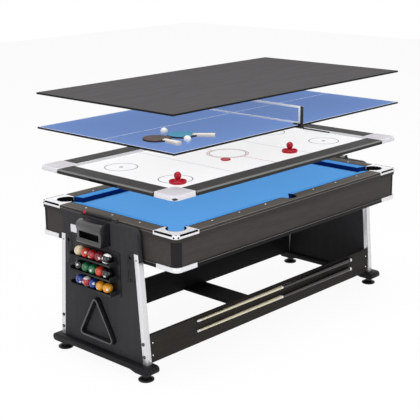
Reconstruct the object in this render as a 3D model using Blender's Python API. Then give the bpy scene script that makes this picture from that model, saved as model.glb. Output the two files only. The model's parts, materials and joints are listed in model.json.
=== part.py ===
"""Multi game table: a pool table on a two-panel stand, with an air hockey deck,
a table tennis top and a dining top that lift off it one above the other.

Metres, +Z up. The origin lies on the floor under the middle of the table,
+X runs along its length and the ball rack is on the end at -X.
"""

import math

import bmesh
import bpy
from mathutils import Matrix, Vector

# Running values that every piece shares.
GAP = 0.0003
OVERRUN = 0.010
ROUND_SIDES = 24
SMALL_SIDES = 12
ARC_STEPS = 4
FINE_BEVEL = 0.0015

# Pool cabinet, the driving sizes.
CABINET_LENGTH = 1.980
CABINET_WIDTH = 1.100
CABINET_TOP = 0.835
CABINET_BOTTOM = 0.638
CABINET_CORNER_RADIUS = 0.030
APRON_INSET = 0.005
APRON_THICKNESS = 0.018
POST_SIZE = 0.045
BOTTOM_BOARD_THICKNESS = 0.018
LEDGE_DEPTH = 0.008
LEDGE_HEIGHT = 0.020

# Pool playing surface, rails, cushions and pockets.
BED_THICKNESS = 0.025
RAIL_HEIGHT = 0.038
RAIL_WIDTH = 0.090
RAIL_ROUND = 0.009
CUSHION_DEPTH = 0.040
CUSHION_DROP = 0.004
CUSHION_NOSE = 0.009
CUSHION_UNDERCUT = 0.014
CUSHION_MITRE = math.radians(40)
CORNER_LEG = 0.170
CORNER_POCKET_INSET = 0.104
CORNER_PROUD = 0.0015
POCKET_RADIUS = 0.056
POCKET_WALL = 0.004
POCKET_DEPTH = 0.075
SIDE_POCKET_INSET = 0.080
SIDE_POCKET_RADIUS = 0.044
SIDE_POCKET_MOUTH = 0.130

# Swivel between the end panels and the cabinet.
HUB_RADIUS = 0.015
HUB_CLEARANCE = 0.0006
HUB_COLLAR_RADIUS = 0.032
HUB_REACH = 0.042

# End panels of the stand.
PANEL_THICKNESS = 0.030
PANEL_OFFSET = 0.015
PANEL_TOP = 0.833
PANEL_FOOT_HALF_WIDTH = 0.356
PANEL_NECK_HALF_WIDTH = 0.310
PANEL_NECK_HEIGHT = 0.698
PANEL_SHOULDER_HALF_WIDTH = 0.305
PANEL_SHOULDER_HEIGHT = 0.752
PANEL_SHOULDER_RADIUS = 0.040

# Bright channels round the panel's slanted edges.
CHANNEL_SKIN = 0.002
CHANNEL_LEG = 0.029
CHANNEL_FOLD_TOP = 0.652
CHANNEL_BOLT_RADIUS = 0.0075
CHANNEL_BOLT_RISE = 0.0025
CHANNEL_BOLT_HEIGHTS = (0.132, 0.204)

# Foot beams and levelling feet.
BEAM_CENTRE = 1.029
BEAM_WIDTH = 0.091
BEAM_HALF_LENGTH = 0.400
BEAM_TOP = 0.086
BEAM_MIDDLE_BOTTOM = 0.052
BEAM_END_BOTTOM = 0.041
BEAM_STEP_INNER = 0.255
BEAM_STEP_OUTER = 0.300
BEAM_END_RADIUS = 0.022
BEAM_BEVEL = 0.006
FOOT_OFFSET = 0.339
FOOT_PAD_RADIUS = 0.044
FOOT_PAD_HEIGHT = 0.009
FOOT_DOME_HEIGHT = 0.019
FOOT_NECK_RADIUS = 0.019
FOOT_STUD_RADIUS = 0.006
FOOT_STUD_REACH = 0.030
FOOT_STUD_CLEARANCE = 0.0006

# Boards between the two end panels.
STRETCHER_TOP = 0.248
STRETCHER_THICKNESS = 0.018
STRETCHER_FACE = 0.345
BRACE_WIDTH = 0.175
BRACE_THICKNESS = 0.015
BRACE_PLACE = 0.020

# Lock plates beside the necks of the end panels.
LOCK_PLACE = 0.252
LOCK_WIDTH = 0.052
LOCK_TOP = 0.702
LOCK_HEIGHT = 0.168
LOCK_PROUD = 0.003
LOCK_HOLE_RADIUS = 0.011
LOCK_HOLE_DROP = 0.032
LOCK_HOLE_DEPTH = 0.016

# Score rail along the top of each end panel.
SCORE_HALF_LENGTH = 0.133
SCORE_ROD_RADIUS = 0.0025
SCORE_ROD_RISE = 0.0135
SCORE_POST_LENGTH = 0.010
SCORE_POST_DEPTH = 0.016
SCORE_POST_RISE = 0.021
BEAD_COUNT = 10
BEAD_PITCH = 0.0225
BEAD_RADIUS = 0.0095
BEAD_WAIST_RADIUS = 0.0055
BEAD_CLEARANCE = 0.0008

# Puck return box on the outside of each end panel.
GOAL_HALF_WIDTH = 0.098
GOAL_DEPTH = 0.074
GOAL_WAIST = 0.007
GOAL_TOP = 0.829
GOAL_BOTTOM = 0.704
GOAL_HOOD_RADIUS = 0.034
GOAL_LIP_ROUND = 0.012
GOAL_WALL = 0.004
GOAL_SLOT_HALF_WIDTH = 0.080
GOAL_SLOT_BOTTOM = 0.733
GOAL_SLOT_TOP = 0.772

# Ball rack with its three shelves, and the balls on them.
BALL_RADIUS = 0.0286
BALLS_IN_ROW = 5
BALL_OVERLAP = 0.0008
BALL_MERIDIANS = 12
BALL_PARALLELS = 8
ROW_HEIGHTS = (0.640, 0.5575, 0.475)
ROW_OFFSET = 0.012
RACK_HALF_WIDTH = 0.166
RACK_BACK_HALF_WIDTH = 0.184
RACK_BACK = 0.0045
RACK_MARGIN = 0.022
RACK_CORNER = 0.018
SHELF_THICKNESS = 0.003
SHELF_LIP_HEIGHT = 0.007
SHELF_LIP_THICKNESS = 0.003
SHELF_LIP_PLACE = 0.026
CHEEK_THICKNESS = 0.004
CHEEK_HEIGHT = 0.022

# Triangle for racking the balls, kept in a recess of the ball rack panel.
TRIANGLE_SIDE = 0.300
TRIANGLE_BAR = 0.011
TRIANGLE_DEPTH = 0.036
TRIANGLE_CORNER = 0.022
TRIANGLE_BOTTOM = 0.142
TRIANGLE_PLACE = 0.024
RECESS_DEPTH = 0.008
RECESS_MARGIN = 0.006

# Cues and the clips that hold them on the front board.
CUE_LENGTH = 1.450
CUE_TIP_RADIUS = 0.0062
CUE_FERRULE_LENGTH = 0.022
CUE_JOINT_RADIUS = 0.0105
CUE_JOINT_SHARE = 0.50
CUE_BUTT_RADIUS = 0.0145
CUE_RING_LENGTH = 0.010
CUE_RING_STEP = 0.0008
CUE_TIP_PLACE = -0.658
CUE_HEIGHTS = (0.2325, 0.1725)
CUE_STAND_OFF = 0.0215
CLIP_PLACES = (-0.451, 0.560)
CLIP_WIDTH = 0.016
CLIP_WALL = 0.0025
CLIP_CLEARANCE = 0.0012
CLIP_OPEN_SHARE = 0.45
CLIP_STEM = 0.010

# Air hockey deck.
DECK_LENGTH = 1.978
DECK_WIDTH = 1.094
DECK_TOP = 1.040
DECK_HEIGHT = 0.036
DECK_RAIL_WIDTH = 0.122
DECK_RIM_HEIGHT = 0.0235
DECK_RIM_OVERHANG = 0.050
DECK_BEVEL_WIDTH = 0.012
DECK_BEVEL_DROP = 0.006
DECK_FIELD_DROP = 0.020
DECK_FIELD_THICKNESS = 0.012
DECK_FIELD_LAP = 0.014
DECK_RIB_COUNT = 6
DECK_RIB_DEPTH = 0.0010
DECK_CAP_LEG = 0.172
DECK_CAP_PROUD = 0.0020
DECK_CAP_CORNER = 0.040
DECK_CORNER_RADIUS = 0.095
DECK_GOAL_HALF_WIDTH = 0.112
DECK_GOAL_HEIGHT = 0.012

# Pushers and puck on the air hockey deck.
MALLET_RADIUS = 0.048
MALLET_RIM_HEIGHT = 0.015
MALLET_DISH_RADIUS = 0.036
MALLET_DISH_HEIGHT = 0.009
MALLET_NECK_RADIUS = 0.013
MALLET_KNOB_RADIUS = 0.0205
MALLET_HEIGHT = 0.062
MALLET_KNOB_LENGTH = 0.034
MALLET_SETBACKS = ((0.275, 0.255), (0.722, 0.284))
PUCK_RADIUS = 0.030
PUCK_HEIGHT = 0.008
PUCK_SETBACK = (0.847, 0.433)

# Table tennis top, net, paddles and balls.
TENNIS_LENGTH = 1.974
TENNIS_WIDTH = 1.098
TENNIS_TOP = 1.261
TENNIS_THICKNESS = 0.010
NET_HEIGHT = 0.106
NET_THICKNESS = 0.0016
NET_TAPE_HEIGHT = 0.012
NET_TAPE_THICKNESS = 0.004
NET_FLOOR_CLEARANCE = 0.006
NET_MESH_COUNT = 36
NET_MESH_ROWS = 4
NET_MESH_BAR = 0.006
NET_POST_SIZE = 0.020
NET_POST_REACH = 0.024
NET_CLAMP_LIP = 0.040
NET_CLAMP_THICKNESS = 0.008
PADDLE_BLADE_LENGTH = 0.156
PADDLE_BLADE_WIDTH = 0.148
PADDLE_BLADE_THICKNESS = 0.010
PADDLE_HANDLE_LENGTH = 0.100
PADDLE_HANDLE_WIDTH = 0.028
PADDLE_HANDLE_FLARE = 0.006
PADDLE_HANDLE_THICKNESS = 0.022
PADDLE_NECK_LENGTH = 0.018
PADDLE_SETBACKS = ((0.167, 0.299), (0.320, 0.266))
PADDLE_TURNS = (math.radians(-94), math.radians(-53))
TENNIS_BALL_RADIUS = 0.020
TENNIS_BALL_SETBACKS = ((0.298, 0.379), (0.230, 0.136))

# Dining top.
DINING_LENGTH = 1.972
DINING_WIDTH = 1.086
DINING_TOP = 1.457
DINING_THICKNESS = 0.010

# Heights and faces that follow from the sizes above.
HALF_LENGTH = CABINET_LENGTH / 2
HALF_WIDTH = CABINET_WIDTH / 2
RAIL_BOTTOM = CABINET_TOP - RAIL_HEIGHT
BED_TOP = RAIL_BOTTOM - GAP
BED_BOTTOM = BED_TOP - BED_THICKNESS
APRON_BOTTOM = CABINET_BOTTOM + BOTTOM_BOARD_THICKNESS + GAP
AXIS_HEIGHT = (CABINET_TOP + CABINET_BOTTOM) / 2
PANEL_INNER = HALF_LENGTH + PANEL_OFFSET
PANEL_OUTER = PANEL_INNER + PANEL_THICKNESS
PANEL_BOTTOM = BEAM_TOP + GAP
CHANNEL_INNER = PANEL_INNER - GAP - CHANNEL_SKIN
CHANNEL_OUTER = PANEL_OUTER + GAP + CHANNEL_SKIN
STRETCHER_HALF_LENGTH = CHANNEL_INNER - GAP
STRETCHER_BOTTOM = BEAM_TOP + GAP
CORNER_CUT = 2 * CORNER_POCKET_INSET + (POCKET_RADIUS + POCKET_WALL + FINE_BEVEL) * math.sqrt(2)
DECK_BOTTOM = DECK_TOP - DECK_HEIGHT
DECK_RIM_BOTTOM = DECK_TOP - DECK_RIM_HEIGHT
FIELD_TOP = DECK_TOP - DECK_FIELD_DROP
RACK_FACE = PANEL_OUTER + GAP + RACK_BACK
BALL_PLACE = RACK_FACE + GAP + BALL_RADIUS


class Finish:
    """Colours and surface values of the finishes, made once each."""

    made = {}

    @classmethod
    def get(cls, name, colour, roughness=0.5, metallic=0.0):
        if name not in cls.made:
            material = bpy.data.materials.new(name)
            material.use_nodes = True
            shader = material.node_tree.nodes["Principled BSDF"]
            shader.inputs["Base Color"].default_value = (*colour, 1.0)
            shader.inputs["Roughness"].default_value = roughness
            shader.inputs["Metallic"].default_value = metallic
            cls.made[name] = material
        return cls.made[name]


def black_board():
    return Finish.get("black_board", (0.030, 0.030, 0.033), 0.50)


def dark_laminate():
    return Finish.get("dark_laminate", (0.062, 0.055, 0.052), 0.45)


def rail_laminate():
    return Finish.get("rail_laminate", (0.130, 0.122, 0.118), 0.40)


def pool_cloth():
    return Finish.get("pool_cloth", (0.082, 0.310, 0.720), 0.95)


def bright_metal():
    return Finish.get("bright_metal", (0.780, 0.785, 0.800), 0.25, 0.9)


def black_plastic():
    return Finish.get("black_plastic", (0.022, 0.022, 0.024), 0.35)


def grey_plastic():
    return Finish.get("grey_plastic", (0.520, 0.525, 0.540), 0.40)


def deck_plastic():
    return Finish.get("deck_plastic", (0.045, 0.045, 0.048), 0.45)


def white_board():
    return Finish.get("white_board", (0.900, 0.910, 0.930), 0.30)


def red_plastic():
    return Finish.get("red_plastic", (0.480, 0.010, 0.025), 0.25)


def tennis_paint():
    return Finish.get("tennis_paint", (0.075, 0.160, 0.460), 0.45)


def grey_laminate():
    return Finish.get("grey_laminate", (0.125, 0.122, 0.120), 0.50)


def mesh_cloth():
    return Finish.get("mesh_cloth", (0.700, 0.720, 0.750), 0.90)


def paddle_rubber():
    return Finish.get("paddle_rubber", (0.040, 0.120, 0.190), 0.70)


def ball_plastic():
    return Finish.get("ball_plastic", (0.600, 0.080, 0.050), 0.15)


def tennis_ball_plastic():
    return Finish.get("tennis_ball_plastic", (0.880, 0.880, 0.860), 0.40)


def cue_wood():
    return Finish.get("cue_wood", (0.760, 0.640, 0.430), 0.35)


def clear_scene():
    for item in list(bpy.data.objects):
        bpy.data.objects.remove(item, do_unlink=True)


def empty(name, place, parent=None):
    """A plain empty that marks a joint's axis."""
    holder = bpy.data.objects.new(name, None)
    bpy.context.collection.objects.link(holder)
    holder.location = place
    if parent is not None:
        holder.parent = parent
    return holder


def finish_object(name, shape, material, parent=None, smooth=False):
    """Turn a bmesh into a named object, with its faces pointing out."""
    bmesh.ops.recalc_face_normals(shape, faces=shape.faces[:])
    mesh = bpy.data.meshes.new(name)
    shape.to_mesh(mesh)
    shape.free()
    if smooth:
        mesh.shade_smooth()
        mesh.set_sharp_from_angle(angle=math.radians(35))
    item = bpy.data.objects.new(name, mesh)
    bpy.context.collection.objects.link(item)
    if material is not None:
        mesh.materials.append(material)
    if parent is not None:
        place = world_place(parent)
        item.parent = parent
        mesh.transform(Matrix.Translation(-place))
    return item


def world_place(item):
    """Sum of the places of an object and of all that it hangs under."""
    place = Vector(item.location)
    while item.parent is not None:
        item = item.parent
        place += Vector(item.location)
    return place


PLANES = {
    "x": lambda along, a, b: (along, a, b),
    "y": lambda along, a, b: (a, along, b),
    "z": lambda along, a, b: (a, b, along),
}


def prism_shape(outline, axis, low, high):
    """Extrude a closed outline between two places on an axis."""
    shape = bmesh.new()
    place = PLANES[axis]
    bottom = [shape.verts.new(place(low, a, b)) for a, b in outline]
    face = shape.faces.new(bottom)
    grown = bmesh.ops.extrude_face_region(shape, geom=[face])
    moved = [v for v in grown["geom"] if isinstance(v, bmesh.types.BMVert)]
    step = Vector(place(high - low, 0, 0))
    bmesh.ops.translate(shape, verts=moved, vec=step)
    return shape


def prism(name, outline, axis, low, high, material, parent=None, smooth=False):
    return finish_object(name, prism_shape(outline, axis, low, high), material, parent, smooth)


def box(name, xs, ys, zs, material, parent=None):
    outline = [(xs[0], ys[0]), (xs[1], ys[0]), (xs[1], ys[1]), (xs[0], ys[1])]
    return prism(name, outline, "z", zs[0], zs[1], material, parent)


def arc(centre, radius, start, end, steps=ARC_STEPS):
    """Points of an arc from one angle to another, both ends included."""
    turn = (end - start) / steps
    return [
        (centre[0] + radius * math.cos(start + turn * i), centre[1] + radius * math.sin(start + turn * i))
        for i in range(steps + 1)
    ]


def circle(centre, radius, sides=ROUND_SIDES):
    return arc(centre, radius, 0, math.tau, sides)[:-1]


def rounded_rectangle(half_a, half_b, radius, steps=ARC_STEPS):
    points = []
    for i, (a, b) in enumerate(((1, 1), (-1, 1), (-1, -1), (1, -1))):
        centre = (a * (half_a - radius), b * (half_b - radius))
        points += arc(centre, radius, i * math.pi / 2, (i + 1) * math.pi / 2, steps)
    return points


def rounded_polygon(corners, radius, steps=ARC_STEPS):
    """Round each corner of a convex outline that runs anticlockwise."""
    points = []
    count = len(corners)
    for i in range(count):
        before = Vector(corners[i - 1])
        here = Vector(corners[i])
        after = Vector(corners[(i + 1) % count])
        inward = (before - here).normalized()
        onward = (after - here).normalized()
        half = inward.angle(onward) / 2
        centre = here + (inward + onward).normalized() * radius / math.sin(half)
        first = here + inward * radius / math.tan(half) - centre
        start = math.atan2(first.y, first.x)
        points += arc(centre, radius, start, start + math.pi - 2 * half, steps)
    return points


def turned_shape(profile, axis, centre, sides=ROUND_SIDES):
    """Turn a profile of (radius, place) round an axis; radius 0 closes it on the axis."""
    shape = bmesh.new()
    rings = []
    for radius, along in profile:
        if radius == 0:
            rings.append([shape.verts.new(axis_point(axis, centre, along, 0, 0))])
            continue
        ring = []
        for i in range(sides):
            angle = math.tau * i / sides
            a, b = radius * math.cos(angle), radius * math.sin(angle)
            ring.append(shape.verts.new(axis_point(axis, centre, along, a, b)))
        rings.append(ring)
    closed = profile[0][0] > 0 and profile[-1][0] > 0
    pairs = list(zip(rings, rings[1:]))
    if closed:
        pairs.append((rings[-1], rings[0]))
    for lower, upper in pairs:
        for i in range(sides):
            j = (i + 1) % sides
            if len(lower) == 1:
                shape.faces.new((lower[0], upper[i], upper[j]))
            elif len(upper) == 1:
                shape.faces.new((lower[i], upper[0], lower[j]))
            else:
                shape.faces.new((lower[i], upper[i], upper[j], lower[j]))
    return shape


def axis_point(axis, centre, along, a, b):
    x, y, z = centre
    if axis == "x":
        return (x + along, y + a, z + b)
    if axis == "y":
        return (x + a, y + along, z + b)
    return (x + a, y + b, z + along)


def turned(name, profile, axis, centre, material, parent=None, sides=ROUND_SIDES):
    return finish_object(name, turned_shape(profile, axis, centre, sides), material, parent, smooth=True)


def round_bar(name, axis, centre, radius, low, high, material=None, sides=ROUND_SIDES):
    return turned(name, [(0, low), (radius, low), (radius, high), (0, high)], axis, centre, material, None, sides)


def hide_guide(item):
    item.hide_render = True
    item.display_type = "WIRE"


def change(target, tool, operation):
    """Cut a tool from a solid, or join it on, and hide the tool."""
    step = target.modifiers.new(operation.lower(), "BOOLEAN")
    step.operation = operation
    step.object = tool
    hide_guide(tool)


def cut(target, tool):
    change(target, tool, "DIFFERENCE")


def join(target, tool):
    change(target, tool, "UNION")


def soften(item, width=FINE_BEVEL, segments=1):
    """Break the sharp edges of a board or moulding."""
    bevel = item.modifiers.new("edges", "BEVEL")
    bevel.width = width
    bevel.segments = segments
    bevel.limit_method = "ANGLE"
    bevel.angle_limit = math.radians(40)


def ends():
    """The two ends of the table, with their direction along X."""
    return (("near", -1), ("far", 1))


def sides():
    """The two long sides of the table, with their direction along Y."""
    return (("front", -1), ("back", 1))


def span(sign, inner, outer):
    """A span between two distances from the middle, on one side, low end first."""
    return tuple(sorted((sign * inner, sign * outer)))


def panel_half_width(height, inset=0.0):
    """Half width of the slanted part of an end panel at a height."""
    share = (height - PANEL_BOTTOM) / (PANEL_NECK_HEIGHT - PANEL_BOTTOM)
    return PANEL_FOOT_HALF_WIDTH + share * (PANEL_NECK_HALF_WIDTH - PANEL_FOOT_HALF_WIDTH) - inset


def panel_outline():
    """Outline of an end panel in Y and Z: slanted sides, stepped neck, round shoulders."""
    right = [(PANEL_FOOT_HALF_WIDTH, PANEL_BOTTOM), (PANEL_NECK_HALF_WIDTH, PANEL_NECK_HEIGHT)]
    right += [(PANEL_SHOULDER_HALF_WIDTH, PANEL_SHOULDER_HEIGHT)]
    centre = (PANEL_SHOULDER_HALF_WIDTH - PANEL_SHOULDER_RADIUS, PANEL_TOP - PANEL_SHOULDER_RADIUS)
    right += arc(centre, PANEL_SHOULDER_RADIUS, 0, math.pi / 2)
    left = [(-y, z) for y, z in reversed(right)]
    return right + left


def triangle_outline(margin):
    """Outline of the ball triangle, grown outwards by a margin."""
    height = TRIANGLE_SIDE * math.sqrt(3) / 2
    spread = margin * math.sqrt(3)
    corners = [
        (TRIANGLE_PLACE - TRIANGLE_SIDE / 2 - spread, TRIANGLE_BOTTOM - margin),
        (TRIANGLE_PLACE + TRIANGLE_SIDE / 2 + spread, TRIANGLE_BOTTOM - margin),
        (TRIANGLE_PLACE, TRIANGLE_BOTTOM + height + 2 * margin),
    ]
    return rounded_polygon(corners, TRIANGLE_CORNER + margin)


def end_panel(name, sign, has_rack):
    """Tall black panel with its swivel hub, lock plates and score rail."""
    low, high = span(sign, PANEL_INNER, PANEL_OUTER)
    panel = prism(f"end_panel_{name}", panel_outline(), "x", low, high, black_board())
    reach = [HALF_LENGTH + PANEL_OFFSET - HUB_REACH, HALF_LENGTH - APRON_INSET + GAP, PANEL_INNER + OVERRUN]
    start, step, root = (sign * place for place in reach)
    hub = [(0, start), (HUB_RADIUS, start), (HUB_RADIUS, step), (HUB_COLLAR_RADIUS, step)]
    hub += [(HUB_COLLAR_RADIUS, root), (0, root)]
    join(panel, turned(f"hub_{name}", hub, "x", (0, 0, AXIS_HEIGHT), None))
    for side, way in sides():
        add_lock_plate(panel, f"{name}_{side}", sign, way)
    add_score_rail(panel, name, sign)
    if has_rack:
        depth = span(sign, PANEL_OUTER - RECESS_DEPTH, PANEL_OUTER + OVERRUN)
        cut(panel, prism(f"recess_{name}", triangle_outline(RECESS_MARGIN), "x", *depth, None))
    return panel


def add_lock_plate(panel, name, sign, way):
    """Raised plate with the blind hole for a locking pin."""
    ys = (way * LOCK_PLACE - LOCK_WIDTH / 2, way * LOCK_PLACE + LOCK_WIDTH / 2)
    plate = box(f"lock_plate_{name}", span(sign, PANEL_OUTER - OVERRUN, PANEL_OUTER + LOCK_PROUD), ys,
                (LOCK_TOP - LOCK_HEIGHT, LOCK_TOP), None)
    join(panel, plate)
    centre = (0, way * LOCK_PLACE, LOCK_TOP - LOCK_HOLE_DROP)
    face = PANEL_OUTER + LOCK_PROUD
    hole = round_bar(f"lock_hole_{name}", "x", centre, LOCK_HOLE_RADIUS,
                     *span(sign, face - LOCK_HOLE_DEPTH, face + OVERRUN), sides=SMALL_SIDES)
    cut(panel, hole)


def add_score_rail(panel, name, sign):
    """Two posts on the panel's top edge with a rod between them."""
    middle = sign * (PANEL_INNER + PANEL_OUTER) / 2
    for side, way in sides():
        post = box(f"score_post_{name}_{side}",
                   (middle - SCORE_POST_DEPTH / 2, middle + SCORE_POST_DEPTH / 2),
                   span(way, SCORE_HALF_LENGTH, SCORE_HALF_LENGTH + SCORE_POST_LENGTH),
                   (PANEL_TOP - OVERRUN, PANEL_TOP + SCORE_POST_RISE), None)
        join(panel, post)
    reach = SCORE_HALF_LENGTH + SCORE_POST_LENGTH / 2
    rod = round_bar(f"score_rod_{name}", "y", (middle, 0, PANEL_TOP + SCORE_ROD_RISE), SCORE_ROD_RADIUS,
                    -reach, reach, sides=SMALL_SIDES)
    join(panel, rod)


def score_beads(name, sign):
    """A string of barrel-shaped beads on the score rod, pushed to one end."""
    bore = SCORE_ROD_RADIUS + BEAD_CLEARANCE
    start = SCORE_HALF_LENGTH - GAP
    profile = [(bore, start), (BEAD_WAIST_RADIUS, start)]
    for i in range(BEAD_COUNT):
        top = start - i * BEAD_PITCH
        profile += [(BEAD_RADIUS, top - BEAD_PITCH * 0.3), (BEAD_RADIUS, top - BEAD_PITCH * 0.7)]
        profile += [(BEAD_WAIST_RADIUS, top - BEAD_PITCH)]
    profile += [(bore, start - BEAD_COUNT * BEAD_PITCH)]
    middle = sign * (PANEL_INNER + PANEL_OUTER) / 2
    place = (middle, 0, PANEL_TOP + SCORE_ROD_RISE)
    return turned(f"score_beads_{name}", profile, "y", place, black_plastic(), sides=SMALL_SIDES)


def edge_channel(name, sign, way):
    """Bright channel folded round the slanted edge of an end panel, with two bolt heads."""
    outer = CHANNEL_SKIN + GAP
    low, high = PANEL_BOTTOM, PANEL_NECK_HEIGHT
    outline = [
        (way * (panel_half_width(low) + outer), low),
        (way * (panel_half_width(high) + outer), high),
        (way * panel_half_width(high, CHANNEL_LEG), high),
        (way * panel_half_width(low, CHANNEL_LEG), low),
    ]
    channel = prism(name, outline, "x", *span(sign, CHANNEL_INNER, CHANNEL_OUTER), bright_metal())
    inside = [
        (way * (panel_half_width(low - OVERRUN) + GAP), low - OVERRUN),
        (way * (panel_half_width(high + OVERRUN) + GAP), high + OVERRUN),
        (way * panel_half_width(high + OVERRUN, CHANNEL_LEG + OVERRUN), high + OVERRUN),
        (way * panel_half_width(low - OVERRUN, CHANNEL_LEG + OVERRUN), low - OVERRUN),
    ]
    cut(channel, prism(f"{name}_inside", inside, "x", *span(sign, PANEL_INNER - GAP, PANEL_OUTER + GAP), None))
    cut(channel, box(f"{name}_fold_end", span(sign, CHANNEL_INNER - OVERRUN, PANEL_OUTER + GAP),
                     span(way, 0, PANEL_FOOT_HALF_WIDTH + OVERRUN), (CHANNEL_FOLD_TOP, high + OVERRUN), None))
    for i, height in enumerate(CHANNEL_BOLT_HEIGHTS):
        centre = (0, way * panel_half_width(height, CHANNEL_LEG / 2), height)
        head = round_bar(f"{name}_bolt_{i}", "x", centre, CHANNEL_BOLT_RADIUS,
                         *span(sign, CHANNEL_OUTER - CHANNEL_SKIN / 2, CHANNEL_OUTER + CHANNEL_BOLT_RISE),
                         sides=SMALL_SIDES)
        join(channel, head)
    return channel


def foot_beam(name, sign):
    """Foot beam: flat top, round ends and an underside that steps up in the middle."""
    top = BEAM_TOP
    right = [(BEAM_STEP_INNER, BEAM_MIDDLE_BOTTOM), (BEAM_STEP_OUTER, BEAM_END_BOTTOM)]
    right += arc((BEAM_HALF_LENGTH - BEAM_END_RADIUS, BEAM_END_BOTTOM + BEAM_END_RADIUS), BEAM_END_RADIUS,
                 -math.pi / 2, 0)
    right += arc((BEAM_HALF_LENGTH - BEAM_END_RADIUS, top - BEAM_END_RADIUS), BEAM_END_RADIUS, 0, math.pi / 2)
    left = [(-y, z) for y, z in reversed(right)]
    low, high = sign * BEAM_CENTRE - BEAM_WIDTH / 2, sign * BEAM_CENTRE + BEAM_WIDTH / 2
    beam = prism(f"foot_beam_{name}", right + left, "x", low, high, black_plastic())
    soften(beam, BEAM_BEVEL, 2)
    for side, way in sides():
        bore = round_bar(f"foot_bore_{name}_{side}", "z", (sign * BEAM_CENTRE, way * FOOT_OFFSET, BEAM_END_BOTTOM),
                         FOOT_STUD_RADIUS + FOOT_STUD_CLEARANCE, -OVERRUN, FOOT_STUD_REACH + FOOT_STUD_CLEARANCE)
        cut(beam, bore)
    return beam


def levelling_foot(name, sign, way):
    """Round pad with a domed top, a neck and a stud that screws into the beam."""
    shoulder = BEAM_END_BOTTOM - GAP
    profile = [
        (0, 0),
        (FOOT_PAD_RADIUS, 0),
        (FOOT_PAD_RADIUS, FOOT_PAD_HEIGHT),
        ((FOOT_PAD_RADIUS + FOOT_NECK_RADIUS) / 2, (FOOT_PAD_HEIGHT + FOOT_DOME_HEIGHT) / 2 + FINE_BEVEL),
        (FOOT_NECK_RADIUS, FOOT_DOME_HEIGHT),
        (FOOT_NECK_RADIUS, shoulder),
        (FOOT_STUD_RADIUS, shoulder),
        (FOOT_STUD_RADIUS, BEAM_END_BOTTOM + FOOT_STUD_REACH),
        (0, BEAM_END_BOTTOM + FOOT_STUD_REACH),
    ]
    pivot = empty(f"{name}_axis", (sign * BEAM_CENTRE, way * FOOT_OFFSET, 0))
    return turned(name, profile, "z", world_place(pivot), black_plastic(), pivot)


def stretcher(name, way):
    """Board on edge between the two end panels."""
    ys = span(way, STRETCHER_FACE - STRETCHER_THICKNESS, STRETCHER_FACE)
    board = box(f"stretcher_{name}", (-STRETCHER_HALF_LENGTH, STRETCHER_HALF_LENGTH), ys,
                (STRETCHER_BOTTOM, STRETCHER_TOP), black_board())
    return board


def add_cue_clips(board):
    """Spring clips, two for each cue, on stems that stand out of the front board."""
    for i, place in enumerate(CLIP_PLACES):
        for j, height in enumerate(CUE_HEIGHTS):
            inner = cue_radius(place - CUE_TIP_PLACE) + CLIP_CLEARANCE
            outer = inner + CLIP_WALL
            centre = (-(STRETCHER_FACE + CUE_STAND_OFF), height)
            ring = clip_outline(centre, inner, outer)
            clip = prism(f"cue_clip_{i}_{j}", ring, "x", place - CLIP_WIDTH / 2, place + CLIP_WIDTH / 2, None)
            join(board, clip)


def clip_outline(centre, inner, outer):
    """C-shaped clip in Y and Z, open towards -Y, with a stem to the board."""
    half_gap = CLIP_OPEN_SHARE * math.pi
    start, end = math.pi + half_gap, 3 * math.pi - half_gap
    steps = 2 * ARC_STEPS
    outside = arc(centre, outer, start, end, steps)
    inside = arc(centre, inner, end, start, steps)
    stem_half = CLIP_STEM / 2
    board = -STRETCHER_FACE + OVERRUN / 2
    first = [p for p in outside if p[1] <= centre[1] - stem_half]
    last = [p for p in outside if p[1] >= centre[1] + stem_half]
    edge = centre[0] + math.sqrt(outer ** 2 - stem_half ** 2)
    stem = [(edge, centre[1] - stem_half), (board, centre[1] - stem_half)]
    stem += [(board, centre[1] + stem_half), (edge, centre[1] + stem_half)]
    return first + stem + last + inside


def cross_brace():
    """Flat board that ties the two stretchers together near the middle."""
    half = STRETCHER_FACE - STRETCHER_THICKNESS - GAP
    return box("cross_brace", (BRACE_PLACE - BRACE_WIDTH / 2, BRACE_PLACE + BRACE_WIDTH / 2), (-half, half),
               (STRETCHER_BOTTOM, STRETCHER_BOTTOM + BRACE_THICKNESS), black_board())


def goal_outline(inset):
    """Side outline of the puck return box: round hood, drawn-in waist, curved lip."""
    back = PANEL_OUTER + GAP + inset
    front = PANEL_OUTER + GAP + GOAL_DEPTH - inset
    radius = GOAL_HOOD_RADIUS - inset
    top = GOAL_TOP - inset
    bottom = GOAL_BOTTOM + inset
    hood = arc((front - radius, top - radius), radius, math.pi / 2, 0, 2 * ARC_STEPS)
    waist = [(front - GOAL_WAIST, GOAL_SLOT_TOP), (front - GOAL_WAIST, GOAL_SLOT_BOTTOM)]
    lip = arc((front - GOAL_LIP_ROUND, bottom + GOAL_LIP_ROUND), GOAL_LIP_ROUND, 0, -math.pi / 2)
    return [(back, bottom), (back, top)] + hood + waist + lip


def goal_box(name, sign):
    """Hollow puck return box with a wide slot in its front."""
    outline = [(sign * x, z) for x, z in goal_outline(0)]
    hollow = [(sign * x, z) for x, z in goal_outline(GOAL_WALL)]
    body = prism(f"goal_box_{name}", outline, "y", -GOAL_HALF_WIDTH, GOAL_HALF_WIDTH, black_plastic(),
                 smooth=True)
    inner = GOAL_HALF_WIDTH - GOAL_WALL
    cut(body, prism(f"goal_hollow_{name}", hollow, "y", -inner, inner, None))
    front = PANEL_OUTER + GAP + GOAL_DEPTH
    slot = box(f"goal_slot_{name}", span(sign, front - GOAL_HOOD_RADIUS, front + OVERRUN),
               (-GOAL_SLOT_HALF_WIDTH, GOAL_SLOT_HALF_WIDTH), (GOAL_SLOT_BOTTOM, GOAL_SLOT_TOP), None)
    cut(body, slot)
    return body


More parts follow.
